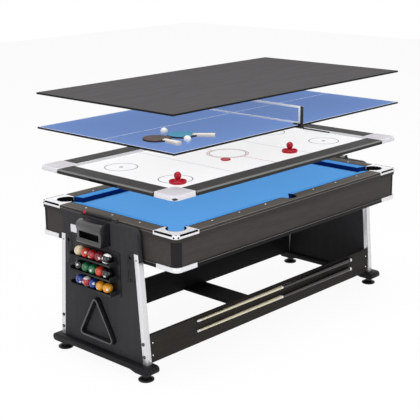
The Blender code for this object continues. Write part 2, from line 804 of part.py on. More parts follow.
def ball_rack():
    """Moulded rack: a back plate with three lipped shelves and a cheek at each end."""
    back_low = ROW_HEIGHTS[-1] - BALL_RADIUS - RACK_MARGIN
    back_high = ROW_HEIGHTS[0] + BALL_RADIUS + RACK_MARGIN / 2
    middle = (back_low + back_high) / 2
    plate = rounded_rectangle(RACK_BACK_HALF_WIDTH, (back_high - back_low) / 2, RACK_CORNER)
    plate = [(y + ROW_OFFSET, z + middle) for y, z in plate]
    rack = prism("ball_rack", plate, "x", -RACK_FACE, -(PANEL_OUTER + GAP), black_plastic())
    lip_inner = BALL_PLACE + SHELF_LIP_PLACE
    lip_outer = lip_inner + SHELF_LIP_THICKNESS
    for i, height in enumerate(ROW_HEIGHTS):
        floor = height - BALL_RADIUS - GAP
        root = RACK_FACE - RACK_BACK / 2
        side = [
            (-root, floor - SHELF_THICKNESS),
            (-lip_outer, floor - SHELF_THICKNESS),
            (-lip_outer, floor + SHELF_LIP_HEIGHT),
            (-lip_inner, floor + SHELF_LIP_HEIGHT),
            (-lip_inner, floor),
            (-root, floor),
        ]
        low, high = ROW_OFFSET - RACK_HALF_WIDTH, ROW_OFFSET + RACK_HALF_WIDTH
        join(rack, prism(f"shelf_{i}", side, "y", low, high, None))
        for end, way in sides():
            face = ROW_OFFSET + way * (RACK_HALF_WIDTH - CHEEK_THICKNESS / 2)
            ys = (face - CHEEK_THICKNESS / 2 - GAP, face + CHEEK_THICKNESS / 2 + GAP)
            cheek = box(f"cheek_{i}_{end}", (-lip_outer - GAP, -root), ys,
                        (floor - SHELF_THICKNESS - GAP, floor + CHEEK_HEIGHT), None)
            join(rack, cheek)
    return rack


def ball_row(index, height):
    """Five pool balls that lie against each other on one shelf."""
    pitch = 2 * BALL_RADIUS - BALL_OVERLAP
    first = ROW_OFFSET - pitch * (BALLS_IN_ROW - 1) / 2
    row = None
    for i in range(BALLS_IN_ROW):
        profile = ball_profile(BALL_RADIUS)
        place = (-BALL_PLACE, first + pitch * i, height)
        name = f"ball_row_{index}" if row is None else f"ball_{index}_{i}"
        ball = turned(name, profile, "y", place, ball_plastic(), sides=BALL_MERIDIANS)
        if row is None:
            row = ball
        else:
            join(row, ball)
    return row


def ball_profile(radius, parallels=BALL_PARALLELS):
    return [
        (0 if i in (0, parallels) else radius * math.sin(math.pi * i / parallels),
         -radius * math.cos(math.pi * i / parallels))
        for i in range(parallels + 1)
    ]


def triangle_rack():
    """Rounded plastic triangle that sits in the recess under the ball rack."""
    low = PANEL_OUTER - RECESS_DEPTH + GAP
    high = low + TRIANGLE_DEPTH
    frame = prism("triangle_rack", triangle_outline(0), "x", -high, -low,
                  black_plastic())
    inner = triangle_outline(-TRIANGLE_BAR)
    cut(frame, prism("triangle_opening", inner, "x", -high - OVERRUN, -low + OVERRUN, None))
    return frame


def cue_radius(distance):
    """Radius of a cue at a distance from its tip."""
    joint = CUE_LENGTH * CUE_JOINT_SHARE
    if distance < joint:
        return CUE_TIP_RADIUS + (CUE_JOINT_RADIUS - CUE_TIP_RADIUS) * distance / joint
    return CUE_JOINT_RADIUS + (CUE_BUTT_RADIUS - CUE_JOINT_RADIUS) * (distance - joint) / (CUE_LENGTH - joint)


def cue(index, height):
    """Two-piece cue: tapered shaft, joint ring and thicker butt."""
    joint = CUE_LENGTH * CUE_JOINT_SHARE
    profile = [(0, 0), (CUE_TIP_RADIUS, 0), (cue_radius(CUE_FERRULE_LENGTH), CUE_FERRULE_LENGTH)]
    profile += [(cue_radius(joint), joint)]
    profile += [(cue_radius(joint) + CUE_RING_STEP, joint + CUE_RING_STEP)]
    profile += [(cue_radius(joint) + CUE_RING_STEP, joint + CUE_RING_LENGTH)]
    profile += [(cue_radius(joint + CUE_RING_LENGTH), joint + CUE_RING_LENGTH + CUE_RING_STEP)]
    profile += [(CUE_BUTT_RADIUS, CUE_LENGTH), (0, CUE_LENGTH)]
    centre = (CUE_TIP_PLACE, -(STRETCHER_FACE + CUE_STAND_OFF), height)
    return turned(f"cue_{index}", profile, "x", centre, cue_wood(), sides=SMALL_SIDES)


def side_apron(name, way):
    """Long side board of the cabinet, with the ledge that carries the bed."""
    outer = HALF_WIDTH - APRON_INSET
    inner = outer - APRON_THICKNESS
    ledge = BED_BOTTOM - GAP
    profile = [
        (outer, APRON_BOTTOM),
        (outer, RAIL_BOTTOM - GAP),
        (inner, RAIL_BOTTOM - GAP),
        (inner, ledge),
        (inner - LEDGE_DEPTH, ledge),
        (inner - LEDGE_DEPTH, ledge - LEDGE_HEIGHT),
        (inner, ledge - LEDGE_HEIGHT),
        (inner, APRON_BOTTOM),
    ]
    reach = HALF_LENGTH - APRON_INSET - POST_SIZE - GAP
    return prism(f"side_apron_{name}", [(way * y, z) for y, z in profile], "x", -reach, reach, dark_laminate())


def end_apron(name, sign):
    """End board of the cabinet with its two rounded corner posts and the swivel bore."""
    outer = HALF_LENGTH - APRON_INSET
    half = HALF_WIDTH - APRON_INSET
    radius = CABINET_CORNER_RADIUS
    right = arc((outer - radius, half - radius), radius, 0, math.pi / 2)
    right += [(outer - POST_SIZE, half), (outer - POST_SIZE, half - POST_SIZE)]
    right += [(outer - APRON_THICKNESS, half - POST_SIZE)]
    left = [(x, -y) for x, y in reversed(right)]
    outline = [(sign * x, y) for x, y in right + left]
    board = prism(f"end_apron_{name}", outline, "z", APRON_BOTTOM, RAIL_BOTTOM - GAP, dark_laminate())
    bore = round_bar(f"swivel_bore_{name}", "x", (0, 0, AXIS_HEIGHT), HUB_RADIUS + HUB_CLEARANCE,
                     *span(sign, outer - APRON_THICKNESS - OVERRUN, outer + OVERRUN))
    cut(board, bore)
    return board


def bottom_board():
    """Board that closes the cabinet from below."""
    outline = rounded_rectangle(HALF_LENGTH, HALF_WIDTH, CABINET_CORNER_RADIUS)
    board = prism("bottom_board", outline, "z", CABINET_BOTTOM, CABINET_BOTTOM + BOTTOM_BOARD_THICKNESS,
                  dark_laminate())
    soften(board)
    return board


def playing_bed():
    """Cloth-covered bed, cut off straight at its corners and notched for the side pockets."""
    rim = APRON_INSET + APRON_THICKNESS + GAP
    outline = []
    for x, y in ((1, 1), (-1, 1), (-1, -1), (1, -1)):
        corner = [(x * (HALF_LENGTH - rim), y * (HALF_WIDTH - CORNER_CUT + rim))]
        corner += [(x * (HALF_LENGTH - CORNER_CUT + rim), y * (HALF_WIDTH - rim))]
        outline += corner if x * y > 0 else corner[::-1]
    bed = prism("playing_bed", outline, "z", BED_BOTTOM, BED_TOP, pool_cloth())
    reach = SIDE_POCKET_RADIUS + POCKET_WALL
    for side, way in sides():
        ys = span(way, HALF_WIDTH - SIDE_POCKET_INSET - reach - FINE_BEVEL - GAP, HALF_WIDTH)
        cut(bed, box(f"bed_notch_{side}", (-reach - GAP, reach + GAP), ys,
                     (BED_BOTTOM - OVERRUN, BED_TOP + OVERRUN), None))
    return bed


def rail_profile():
    """Section of a rail from its outer edge inwards, as (depth, height, along cushion)."""
    top = CABINET_TOP
    wood = [(0, RAIL_BOTTOM)]
    wood += [(d, z) for d, z in arc((RAIL_ROUND, top - RAIL_ROUND), RAIL_ROUND, math.pi, math.pi / 2, 2)]
    wood += [(RAIL_WIDTH, top)]
    nose = RAIL_WIDTH + CUSHION_DEPTH
    cushion = [
        (nose, top - CUSHION_DROP),
        (nose, top - CUSHION_DROP - CUSHION_NOSE),
        (RAIL_WIDTH + CUSHION_UNDERCUT, RAIL_BOTTOM),
    ]
    return wood, cushion, [(RAIL_WIDTH, RAIL_BOTTOM)]


def rail_shape(half_run, place):
    """Rail with square wooden ends and mitred cushion ends."""
    wood, cushion, heel = rail_profile()
    section = wood + cushion + heel
    shape = bmesh.new()
    rings = []
    for way in (-1, 1):
        ring = []
        for depth, height in section:
            back = max(0.0, depth - RAIL_WIDTH) * math.tan(CUSHION_MITRE)
            ring.append(shape.verts.new(place(way * (half_run - back), depth, height)))
        rings.append(ring)
    count = len(section)
    for i in range(count):
        j = (i + 1) % count
        shape.faces.new((rings[0][i], rings[0][j], rings[1][j], rings[1][i]))
    split = len(wood) - 1
    for ring in rings:
        shape.faces.new(ring[:split + 1] + [ring[-1]])
        shape.faces.new(ring[split:])
    return shape


def side_rail(name, way):
    """Long rail with its cushion, cut out round the side pocket and lined there."""
    half_run = HALF_LENGTH - CORNER_LEG - GAP
    shape = rail_shape(half_run, lambda run, depth, height: (run, way * (HALF_WIDTH - depth), height))
    rail = finish_object(f"side_rail_{name}", shape, rail_laminate())
    centre = way * (HALF_WIDTH - SIDE_POCKET_INSET)
    outer = SIDE_POCKET_RADIUS + POCKET_WALL
    cup = round_bar(f"side_cup_{name}", "z", (0, centre, 0), outer, BED_BOTTOM - POCKET_DEPTH / 2,
                    CABINET_TOP - RAIL_ROUND)
    join(rail, cup)
    clear = way * (HALF_WIDTH - RAIL_WIDTH)
    inward = way * (HALF_WIDTH - RAIL_WIDTH - CUSHION_DEPTH - OVERRUN)
    mouth = [
        (-SIDE_POCKET_RADIUS, centre),
        (SIDE_POCKET_RADIUS, centre),
        (outer, clear),
        (SIDE_POCKET_MOUTH / 2, inward),
        (-SIDE_POCKET_MOUTH / 2, inward),
        (-outer, clear),
    ]
    cut(rail, prism(f"side_mouth_{name}", mouth, "z", BED_TOP, CABINET_TOP + OVERRUN, None))
    join(rail, box(f"side_block_{name}", (-outer, outer),
                   span(way, HALF_WIDTH - RAIL_WIDTH, HALF_WIDTH - SIDE_POCKET_INSET - outer - FINE_BEVEL),
                   (BED_BOTTOM, BED_TOP), None))
    cut(rail, round_bar(f"side_bore_{name}", "z", (0, centre, 0), SIDE_POCKET_RADIUS,
                        BED_BOTTOM - POCKET_DEPTH / 2 + POCKET_WALL, CABINET_TOP + OVERRUN))
    return rail


def end_rail(name, sign):
    """Short rail with its cushion."""
    half_run = HALF_WIDTH - CORNER_LEG - GAP
    shape = rail_shape(half_run, lambda run, depth, height: (sign * (HALF_LENGTH - depth), run, height))
    return finish_object(f"end_rail_{name}", shape, rail_laminate())


def corner_pocket(name, sign, way):
    """Bright L-shaped corner casting, with the pocket cup and a bed plate under it."""
    def place(u, v):
        return (sign * (HALF_LENGTH - u), way * (HALF_WIDTH - v))

    radius = CABINET_CORNER_RADIUS
    legs = [(CORNER_LEG, 0), (CORNER_LEG, RAIL_WIDTH), (RAIL_WIDTH, RAIL_WIDTH)]
    legs += [(RAIL_WIDTH, CORNER_LEG), (0, CORNER_LEG)]
    legs += arc((radius, radius), radius, math.pi, 1.5 * math.pi)
    top = CABINET_TOP + CORNER_PROUD
    casting = prism(f"corner_pocket_{name}", [place(u, v) for u, v in legs], "z", RAIL_BOTTOM, top,
                    bright_metal())
    centre = place(CORNER_POCKET_INSET, CORNER_POCKET_INSET)
    bottom = BED_TOP - POCKET_DEPTH
    join(casting, round_bar(f"cup_{name}", "z", (*centre, 0), POCKET_RADIUS + POCKET_WALL, bottom,
                            RAIL_BOTTOM + POCKET_WALL))
    inner = [place(u, v) for u, v in ((RAIL_WIDTH, RAIL_WIDTH), (CORNER_LEG + OVERRUN, CORNER_LEG + OVERRUN))]
    cut(casting, box(f"mouth_{name}", sorted((inner[0][0], inner[1][0])), sorted((inner[0][1], inner[1][1])),
                     (BED_TOP, top + OVERRUN), None))
    edge = CORNER_CUT - GAP * math.sqrt(2) - RAIL_WIDTH
    plate = [place(u, v) for u, v in ((RAIL_WIDTH, RAIL_WIDTH), (edge, RAIL_WIDTH), (RAIL_WIDTH, edge))]
    join(casting, prism(f"plate_{name}", plate, "z", BED_BOTTOM, BED_TOP, None))
    cut(casting, round_bar(f"bore_{name}", "z", (*centre, 0), POCKET_RADIUS, bottom + POCKET_WALL,
                           top + OVERRUN))
    return casting


def deck_rail_profile():
    """Section of an air hockey rail: ribbed top, overhanging outer rim, rebate over the field."""
    top, bottom = DECK_TOP, DECK_BOTTOM
    flat = DECK_RAIL_WIDTH - DECK_BEVEL_WIDTH
    profile = [(DECK_RIM_OVERHANG, bottom), (DECK_RIM_OVERHANG, DECK_RIM_BOTTOM), (0, DECK_RIM_BOTTOM)]
    profile += [(0, top - DECK_BEVEL_DROP), (DECK_BEVEL_WIDTH, top)]
    pitch = flat / (2 * DECK_RIB_COUNT + 1)
    for i in range(DECK_RIB_COUNT):
        groove = DECK_BEVEL_WIDTH + pitch * (2 * i + 1)
        profile += [(groove, top), (groove, top - DECK_RIB_DEPTH)]
        profile += [(groove + pitch, top - DECK_RIB_DEPTH), (groove + pitch, top)]
    lap = DECK_RAIL_WIDTH - DECK_FIELD_LAP
    profile += [(DECK_RAIL_WIDTH, top), (DECK_RAIL_WIDTH, FIELD_TOP + GAP), (lap, FIELD_TOP + GAP)]
    profile += [(lap, bottom)]
    return profile


def deck_side_rail(name, way):
    reach = DECK_LENGTH / 2 - DECK_CAP_LEG - GAP
    outline = [(way * (DECK_WIDTH / 2 - d), z) for d, z in deck_rail_profile()]
    return prism(f"deck_side_rail_{name}", outline, "x", -reach, reach, deck_plastic())


def deck_end_rail(name, sign):
    """Short air hockey rail with the goal slot cut through it over the field."""
    reach = DECK_WIDTH / 2 - DECK_CAP_LEG - GAP
    outline = [(sign * (DECK_LENGTH / 2 - d), z) for d, z in deck_rail_profile()]
    rail = prism(f"deck_end_rail_{name}", outline, "y", -reach, reach, deck_plastic())
    xs = span(sign, DECK_LENGTH / 2 - DECK_RAIL_WIDTH - OVERRUN, DECK_LENGTH / 2 + OVERRUN)
    cut(rail, box(f"goal_slot_deck_{name}", xs, (-DECK_GOAL_HALF_WIDTH, DECK_GOAL_HALF_WIDTH),
                  (FIELD_TOP + GAP - OVERRUN / 2, FIELD_TOP + DECK_GOAL_HEIGHT), None))
    return rail


def deck_field():
    """White playing board under the rails of the air hockey deck."""
    half_x = DECK_LENGTH / 2 - DECK_RAIL_WIDTH + DECK_FIELD_LAP - GAP
    half_y = DECK_WIDTH / 2 - DECK_RAIL_WIDTH + DECK_FIELD_LAP - GAP
    return box("deck_field", (-half_x, half_x), (-half_y, half_y), (FIELD_TOP - DECK_FIELD_THICKNESS, FIELD_TOP),
               white_board())


def deck_cap(name, sign, way):
    """Silver-grey corner cap of the deck, rounded inside and out, with the rails' overhanging rim."""
    def place(u, v):
        return (sign * (DECK_LENGTH / 2 - u), way * (DECK_WIDTH / 2 - v))

    width, leg, radius = DECK_RAIL_WIDTH, DECK_CAP_LEG, DECK_CORNER_RADIUS
    inner = arc((width + radius, width + radius), radius, 1.5 * math.pi, math.pi)
    legs = [(leg, 0), (leg, width)]
    legs += [p for p in inner if p[0] < leg and p[1] < leg]
    legs += [(width, leg), (0, leg)]
    legs += arc((DECK_CAP_CORNER, DECK_CAP_CORNER), DECK_CAP_CORNER, math.pi, 1.5 * math.pi)
    cap = prism(f"deck_cap_{name}", [place(u, v) for u, v in legs], "z", DECK_BOTTOM,
                DECK_TOP + DECK_CAP_PROUD, grey_plastic())
    lap = width - DECK_FIELD_LAP
    far = leg + OVERRUN
    xs = sorted((place(lap, 0)[0], place(far, 0)[0]))
    ys = sorted((place(0, lap)[1], place(0, far)[1]))
    cut(cap, box(f"rebate_{name}", xs, ys, (DECK_BOTTOM - OVERRUN, FIELD_TOP + GAP), None))
    rim, out = DECK_RIM_OVERHANG, -OVERRUN
    under = (DECK_BOTTOM - OVERRUN, DECK_RIM_BOTTOM)
    under_rim = [(far, rim), (rim, rim), (rim, far), (out, far), (out, out), (far, out)]
    cut(cap, prism(f"under_rim_{name}", [place(u, v) for u, v in under_rim], "z", *under, None))
    return cap


def mallet(name, place):
    """Air hockey pusher: dished base with a raised rim and a domed knob."""
    knob_start = MALLET_HEIGHT - MALLET_KNOB_LENGTH
    dome = arc((0, MALLET_HEIGHT - MALLET_KNOB_RADIUS), MALLET_KNOB_RADIUS, 0, math.pi / 2, 4)[:-1]
    profile = [
        (0, 0),
        (MALLET_RADIUS, 0),
        (MALLET_RADIUS, MALLET_RIM_HEIGHT - FINE_BEVEL),
        (MALLET_RADIUS - FINE_BEVEL, MALLET_RIM_HEIGHT),
        (MALLET_DISH_RADIUS, MALLET_RIM_HEIGHT),
        (MALLET_NECK_RADIUS + FINE_BEVEL, MALLET_DISH_HEIGHT),
        (MALLET_NECK_RADIUS, knob_start - FINE_BEVEL),
        (MALLET_KNOB_RADIUS, knob_start),
    ]
    profile += dome + [(0, MALLET_HEIGHT)]
    return turned(name, profile, "z", (*place, FIELD_TOP + GAP), red_plastic(), sides=ROUND_SIDES)


def set_back(length, width, setback, sign=-1):
    """Place on a top, counted from one of its ends and from its front edge."""
    return (sign * (length / 2 - setback[0]), -(width / 2 - setback[1]))


def puck():
    edge = FINE_BEVEL
    place = set_back(DECK_LENGTH, DECK_WIDTH, PUCK_SETBACK)
    profile = [
        (0, 0), (PUCK_RADIUS - edge, 0), (PUCK_RADIUS, edge), (PUCK_RADIUS, PUCK_HEIGHT - edge),
        (PUCK_RADIUS - edge, PUCK_HEIGHT), (0, PUCK_HEIGHT),
    ]
    return turned("puck", profile, "z", (*place, FIELD_TOP + GAP), red_plastic())


def plain_top(name, length, width, top, thickness, material):
    board = box(name, (-length / 2, length / 2), (-width / 2, width / 2), (top - thickness, top), material)
    soften(board)
    return board


def table_net():
    """Net of open mesh between two tapes, with a clamp post over each edge of the top."""
    half = TENNIS_WIDTH / 2 + NET_POST_REACH
    low = TENNIS_TOP + NET_FLOOR_CLEARANCE
    high = TENNIS_TOP + NET_HEIGHT
    thin = NET_THICKNESS / 2
    net = box("table_net", (-thin, thin), (-half, half), (low, high), mesh_cloth())
    inner_low, inner_high = low + NET_TAPE_HEIGHT / 2, high - NET_TAPE_HEIGHT
    start = -(TENNIS_WIDTH / 2 - NET_POST_SIZE)
    cell = -2 * start / NET_MESH_COUNT
    row = (inner_high - inner_low) / NET_MESH_ROWS
    holes = bmesh.new()
    for i in range(NET_MESH_COUNT):
        for j in range(NET_MESH_ROWS):
            centre = Vector((0, start + cell * (i + 0.5), inner_low + row * (j + 0.5)))
            size = Vector((NET_THICKNESS + OVERRUN, cell - NET_MESH_BAR, row - NET_MESH_BAR))
            place = Matrix.Translation(centre) @ Matrix.Diagonal((*size, 1))
            bmesh.ops.create_cube(holes, size=1, matrix=place)
    cut(net, finish_object("net_holes", holes, None))
    tape = NET_TAPE_THICKNESS / 2
    join(net, box("net_tape", (-tape, tape), (-half, half), (inner_high, high + GAP), None))
    for side, way in sides():
        join(net, net_post(side, way))
    return net


def net_post(name, way):
    """Post and clamp in one outline, hooked over and under the edge of the top."""
    edge = TENNIS_WIDTH / 2
    over = TENNIS_TOP + GAP
    under = TENNIS_TOP - TENNIS_THICKNESS - GAP
    outline = [
        (edge - NET_CLAMP_LIP, over),
        (edge + GAP, over),
        (edge + GAP, under),
        (edge - NET_CLAMP_LIP, under),
        (edge - NET_CLAMP_LIP, under - NET_CLAMP_THICKNESS),
        (edge + NET_POST_REACH, under - NET_CLAMP_THICKNESS),
        (edge + NET_POST_REACH, TENNIS_TOP + NET_HEIGHT),
        (edge + NET_POST_REACH - NET_POST_SIZE, TENNIS_TOP + NET_HEIGHT),
        (edge + NET_POST_REACH - NET_POST_SIZE, over + NET_CLAMP_THICKNESS),
        (edge - NET_CLAMP_LIP, over + NET_CLAMP_THICKNESS),
    ]
    return prism(f"net_post_{name}", [(way * y, z) for y, z in outline], "x", -NET_POST_SIZE / 2,
                 NET_POST_SIZE / 2, None)


def paddle(name, place, turn):
    """Table tennis paddle: oval rubber-faced blade with a flared handle."""
    blade = [(PADDLE_BLADE_LENGTH / 2 * math.cos(a), PADDLE_BLADE_WIDTH / 2 * math.sin(a))
             for a in (math.tau * i / ROUND_SIDES for i in range(ROUND_SIDES))]
    lift = TENNIS_TOP + GAP
    middle = PADDLE_HANDLE_THICKNESS / 2
    half = PADDLE_BLADE_THICKNESS / 2
    item = prism(name, blade, "z", middle - half, middle + half, paddle_rubber())
    end = PADDLE_BLADE_LENGTH / 2
    narrow, wide = PADDLE_HANDLE_WIDTH / 2, PADDLE_HANDLE_WIDTH / 2 + PADDLE_HANDLE_FLARE
    outline = [
        (end - PADDLE_NECK_LENGTH, -narrow), (end + PADDLE_HANDLE_LENGTH / 2, -narrow),
        (end + PADDLE_HANDLE_LENGTH, -wide), (end + PADDLE_HANDLE_LENGTH, wide),
        (end + PADDLE_HANDLE_LENGTH / 2, narrow), (end - PADDLE_NECK_LENGTH, narrow),
    ]
    handle = prism(f"{name}_handle", outline, "z", 0, PADDLE_HANDLE_THICKNESS, None)
    move = Matrix.Translation((*place, lift)) @ Matrix.Rotation(turn, 4, "Z")
    item.data.transform(move)
    handle.data.transform(move)
    join(item, handle)
    return item


def build_stand():
    for name, sign in ends():
        end_panel(name, sign, has_rack=sign < 0)
        goal_box(name, sign)
        score_beads(name, sign)
        foot_beam(name, sign)
        for side, way in sides():
            edge_channel(f"edge_channel_{name}_{side}", sign, way)
            levelling_foot(f"levelling_foot_{name}_{side}", sign, way)
    add_cue_clips(stretcher("front", -1))
    stretcher("back", 1)
    cross_brace()
    ball_rack()
    triangle_rack()
    for i, height in enumerate(ROW_HEIGHTS, start=1):
        ball_row(i, height)
    for i, height in enumerate(CUE_HEIGHTS, start=1):
        cue(i, height)


def build_cabinet():
    bottom_board()
    playing_bed()
    for name, sign in ends():
        end_apron(name, sign)
        end_rail(name, sign)
        for side, way in sides():
            corner_pocket(f"{name}_{side}", sign, way)
    for name, way in sides():
        side_apron(name, way)
        side_rail(name, way)


def build_air_hockey_deck():
    deck_field()
    for name, sign in ends():
        deck_end_rail(name, sign)
        for side, way in sides():
            deck_cap(f"{name}_{side}", sign, way)
    for name, way in sides():
        deck_side_rail(name, way)
    for (name, sign), setback in zip(ends(), MALLET_SETBACKS):
        mallet(f"mallet_{name}", set_back(DECK_LENGTH, DECK_WIDTH, setback, sign))
    puck()


def build_upper_tops():
    plain_top("table_tennis_top", TENNIS_LENGTH, TENNIS_WIDTH, TENNIS_TOP, TENNIS_THICKNESS, tennis_paint())
    table_net()
    for i, (setback, turn) in enumerate(zip(PADDLE_SETBACKS, PADDLE_TURNS), start=1):
        paddle(f"paddle_{i}", set_back(TENNIS_LENGTH, TENNIS_WIDTH, setback), turn)
    for i, setback in enumerate(TENNIS_BALL_SETBACKS, start=1):
        centre = (*set_back(TENNIS_LENGTH, TENNIS_WIDTH, setback), TENNIS_TOP + GAP + TENNIS_BALL_RADIUS)
        turned(f"tennis_ball_{i}", ball_profile(TENNIS_BALL_RADIUS), "z", centre, tennis_ball_plastic(),
               sides=BALL_MERIDIANS)
    plain_top("dining_top", DINING_LENGTH, DINING_WIDTH, DINING_TOP, DINING_THICKNESS, grey_laminate())


def main():
    clear_scene()
    build_stand()
    build_cabinet()
    build_air_hockey_deck()
    build_upper_tops()


main()
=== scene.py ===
"""Looks of a multi game table: pool cabinet on a stand, air hockey deck, tennis and dining tops.

Metres, +Z up. The origin is on the floor under the middle of the table, +X runs along its length
away from the ball rack, and the cues hang on the front, at -Y.
"""

from __future__ import annotations

import json
import logging
import math
from collections.abc import Callable, Iterable, Sequence
from dataclasses import dataclass, field
from enum import Enum

import bmesh
import bpy
from mathutils import Euler, Matrix, Vector

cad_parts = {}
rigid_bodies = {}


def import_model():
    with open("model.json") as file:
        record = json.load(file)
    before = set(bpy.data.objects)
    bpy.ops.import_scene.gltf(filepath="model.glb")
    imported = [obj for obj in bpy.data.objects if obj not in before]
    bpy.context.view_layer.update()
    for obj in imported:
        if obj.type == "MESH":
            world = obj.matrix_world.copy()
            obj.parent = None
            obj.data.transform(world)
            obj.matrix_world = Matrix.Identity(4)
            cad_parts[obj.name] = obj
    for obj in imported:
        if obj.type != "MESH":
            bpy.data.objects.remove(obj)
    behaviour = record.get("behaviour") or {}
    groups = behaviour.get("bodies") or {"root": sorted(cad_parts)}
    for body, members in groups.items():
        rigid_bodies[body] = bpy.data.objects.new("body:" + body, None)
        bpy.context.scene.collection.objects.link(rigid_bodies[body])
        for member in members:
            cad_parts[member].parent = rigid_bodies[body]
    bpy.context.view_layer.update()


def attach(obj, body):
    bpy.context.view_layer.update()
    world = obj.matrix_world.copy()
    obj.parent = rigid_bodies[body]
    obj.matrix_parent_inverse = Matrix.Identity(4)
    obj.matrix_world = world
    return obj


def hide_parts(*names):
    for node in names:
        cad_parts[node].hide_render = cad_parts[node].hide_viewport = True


LOG = logging.getLogger("game_table")

Point2 = tuple[float, float]
Point3 = tuple[float, float, float]
Span = tuple[float, float]
Spot = tuple[Point3, Point3]
CornerPlace = Callable[[float, float], Point2]

ORIGIN = (0.0, 0.0, 0.0)
WHITE = (1.0, 1.0, 1.0, 1.0)
SMOOTH_DEGREES = 32.0
BEVEL_DEGREES = 35.0
MERGE_DISTANCE = 0.00001
OVERRUN = 0.01
SINK = 0.0002
WAVE_LENGTH = 6.3


class Axis(Enum):
    """Row axis that an outline is extruded along or a profile is turned about."""

    X = 0
    Y = 1
    Z = 2


class End(Enum):
    """The two ends of the table; the value is the direction along X."""

    near = -1
    far = 1


class Side(Enum):
    """The two long sides of the table; the value is the direction along Y."""

    front = -1
    back = 1


def linear(code: str) -> tuple[float, float, float, float]:
    """Turn a hex colour into linear values.

    Args:
        code: Six hex digits after a hash.

    Returns:
        Red, green, blue and an alpha of one.
    """
    parts = [int(code[i:i + 2], 16) / 255 for i in (1, 3, 5)]
    red, green, blue = (c / 12.92 if c <= 0.04045 else ((c + 0.055) / 1.055) ** 2.4 for c in parts)
    return (red, green, blue, 1.0)


def even(value: float) -> Point3:
    """The same value along all three axes."""
    return (value, value, value)


class NodeGraph:
    """Small wrapper that adds and links nodes of a tree."""

    def __init__(self, tree: bpy.types.NodeTree) -> None:
        """Keep the tree."""
        self.tree = tree

    def add(self, kind: str, inputs: dict | None = None, **settings: object) -> bpy.types.Node:
        """Add a node, set its properties and fill or link its inputs.

        Args:
            kind: Blender's name for the node type.
            inputs: Values or output sockets by input name or number.
            **settings: Properties of the node itself.

        Returns:
            The new node.
        """
        node = self.tree.nodes.new(kind)
        for key, value in settings.items():
            setattr(node, key, value)
        for key, value in (inputs or {}).items():
            if isinstance(value, bpy.types.NodeSocket):
                self.tree.links.new(value, node.inputs[key])
            else:
                node.inputs[key].default_value = value
        return node


@dataclass(frozen=True)
class Finish:
    """A surface with fine grain: a colour that wanders, a roughness and a shallow relief."""

    name: str
    colour: str
    roughness: float = 0.5
    metallic: float = 0.0
    variation: float = 0.06
    grain: Point3 = even(60.0)
    relief: float = 0.15
    depth: float = 0.0004
    coat: float = 0.0
    coat_roughness: float = 0.12
    roughness_spread: float = 0.05
    specular: float = 0.4

    def material(self) -> bpy.types.Material:
        """Build the material once and hand out the same one after that."""
        name = f"{self.name}_finish"
        found = bpy.data.materials.get(name)
        if found is not None:
            return found
        made = bpy.data.materials.new(name)
        made.use_nodes = True
        graph = NodeGraph(made.node_tree)
        self.dress(graph, made.node_tree.nodes["Principled BSDF"])
        return made

    def dress(self, graph: NodeGraph, shader: bpy.types.Node) -> None:
        """Set the shader's sockets and lead the pattern into it.

        Args:
            graph: The material's node tree.
            shader: Its Principled BSDF.
        """
        shader.inputs["Metallic"].default_value = self.metallic
        shader.inputs["Coat Weight"].default_value = self.coat
        shader.inputs["Coat Roughness"].default_value = self.coat_roughness
        shader.inputs["Specular IOR Level"].default_value = self.specular
        pattern = self.pattern(graph)
        base = linear(self.colour)
        low = tuple(c * (1 - self.variation) for c in base[:3]) + (1.0,)
        high = tuple(min(1.0, c * (1 + self.variation)) for c in base[:3]) + (1.0,)
        blend = graph.add("ShaderNodeMix", {0: pattern, 6: low, 7: high}, data_type="RGBA")
        tree = graph.tree
        tree.links.new(blend.outputs[2], shader.inputs["Base Color"])
        rough = graph.add("ShaderNodeMapRange", {0: pattern,
                                                 3: max(0.02, self.roughness - self.roughness_spread),
                                                 4: min(1.0, self.roughness + self.roughness_spread)})
        tree.links.new(rough.outputs[0], shader.inputs["Roughness"])
        if self.relief > 0:
            bump = graph.add("ShaderNodeBump", {"Strength": self.relief, "Distance": self.depth,
                                                "Height": pattern})
            tree.links.new(bump.outputs[0], shader.inputs["Normal"])

    def spread(self, graph: NodeGraph, scale: Point3) -> bpy.types.NodeSocket:
        """Object coordinates stretched by a scale along each axis."""
        place = graph.add("ShaderNodeTexCoord").outputs["Object"]
        return graph.add("ShaderNodeMapping", {"Vector": place, "Scale": scale}).outputs[0]

    def place_parts(self, graph: NodeGraph) -> bpy.types.bpy_prop_collection:
        """X, Y and Z of the Object coordinates, as sockets."""
        place = graph.add("ShaderNodeTexCoord").outputs["Object"]
        return graph.add("ShaderNodeSeparateXYZ", {0: place}).outputs

    def pattern(self, graph: NodeGraph) -> bpy.types.NodeSocket:
        """Noise between 0 and 1 that colour, gloss and relief follow."""
        noise = graph.add("ShaderNodeTexNoise", {"Vector": self.spread(graph, self.grain), "Scale": 1.0,
                                                 "Detail": 5.0, "Roughness": 0.6})
        return noise.outputs["Fac"]


@dataclass(frozen=True)
class Cloth(Finish):
    """Woven or napped cloth: two crossed sets of threads with noise over them."""

    thread: float = 900.0
    nap_share: float = 0.65

    def pattern(self, graph: NodeGraph) -> bpy.types.NodeSocket:
        """Crossed waves mixed with a nap of noise."""
        place = self.spread(graph, even(1.0))
        scale = self.thread / WAVE_LENGTH
        bands = [graph.add("ShaderNodeTexWave", {"Vector": place, "Scale": scale, "Distortion": 0.6},
                           bands_direction=way).outputs["Fac"] for way in ("X", "Y")]
        weave = graph.add("ShaderNodeMath", {0: bands[0], 1: bands[1]}, operation="MULTIPLY").outputs[0]
        nap = graph.add("ShaderNodeTexNoise", {"Vector": self.spread(graph, self.grain), "Scale": 1.0,
                                               "Detail": 6.0}).outputs["Fac"]
        return graph.add("ShaderNodeMix", {0: self.nap_share, 2: weave, 3: nap}).outputs[0]


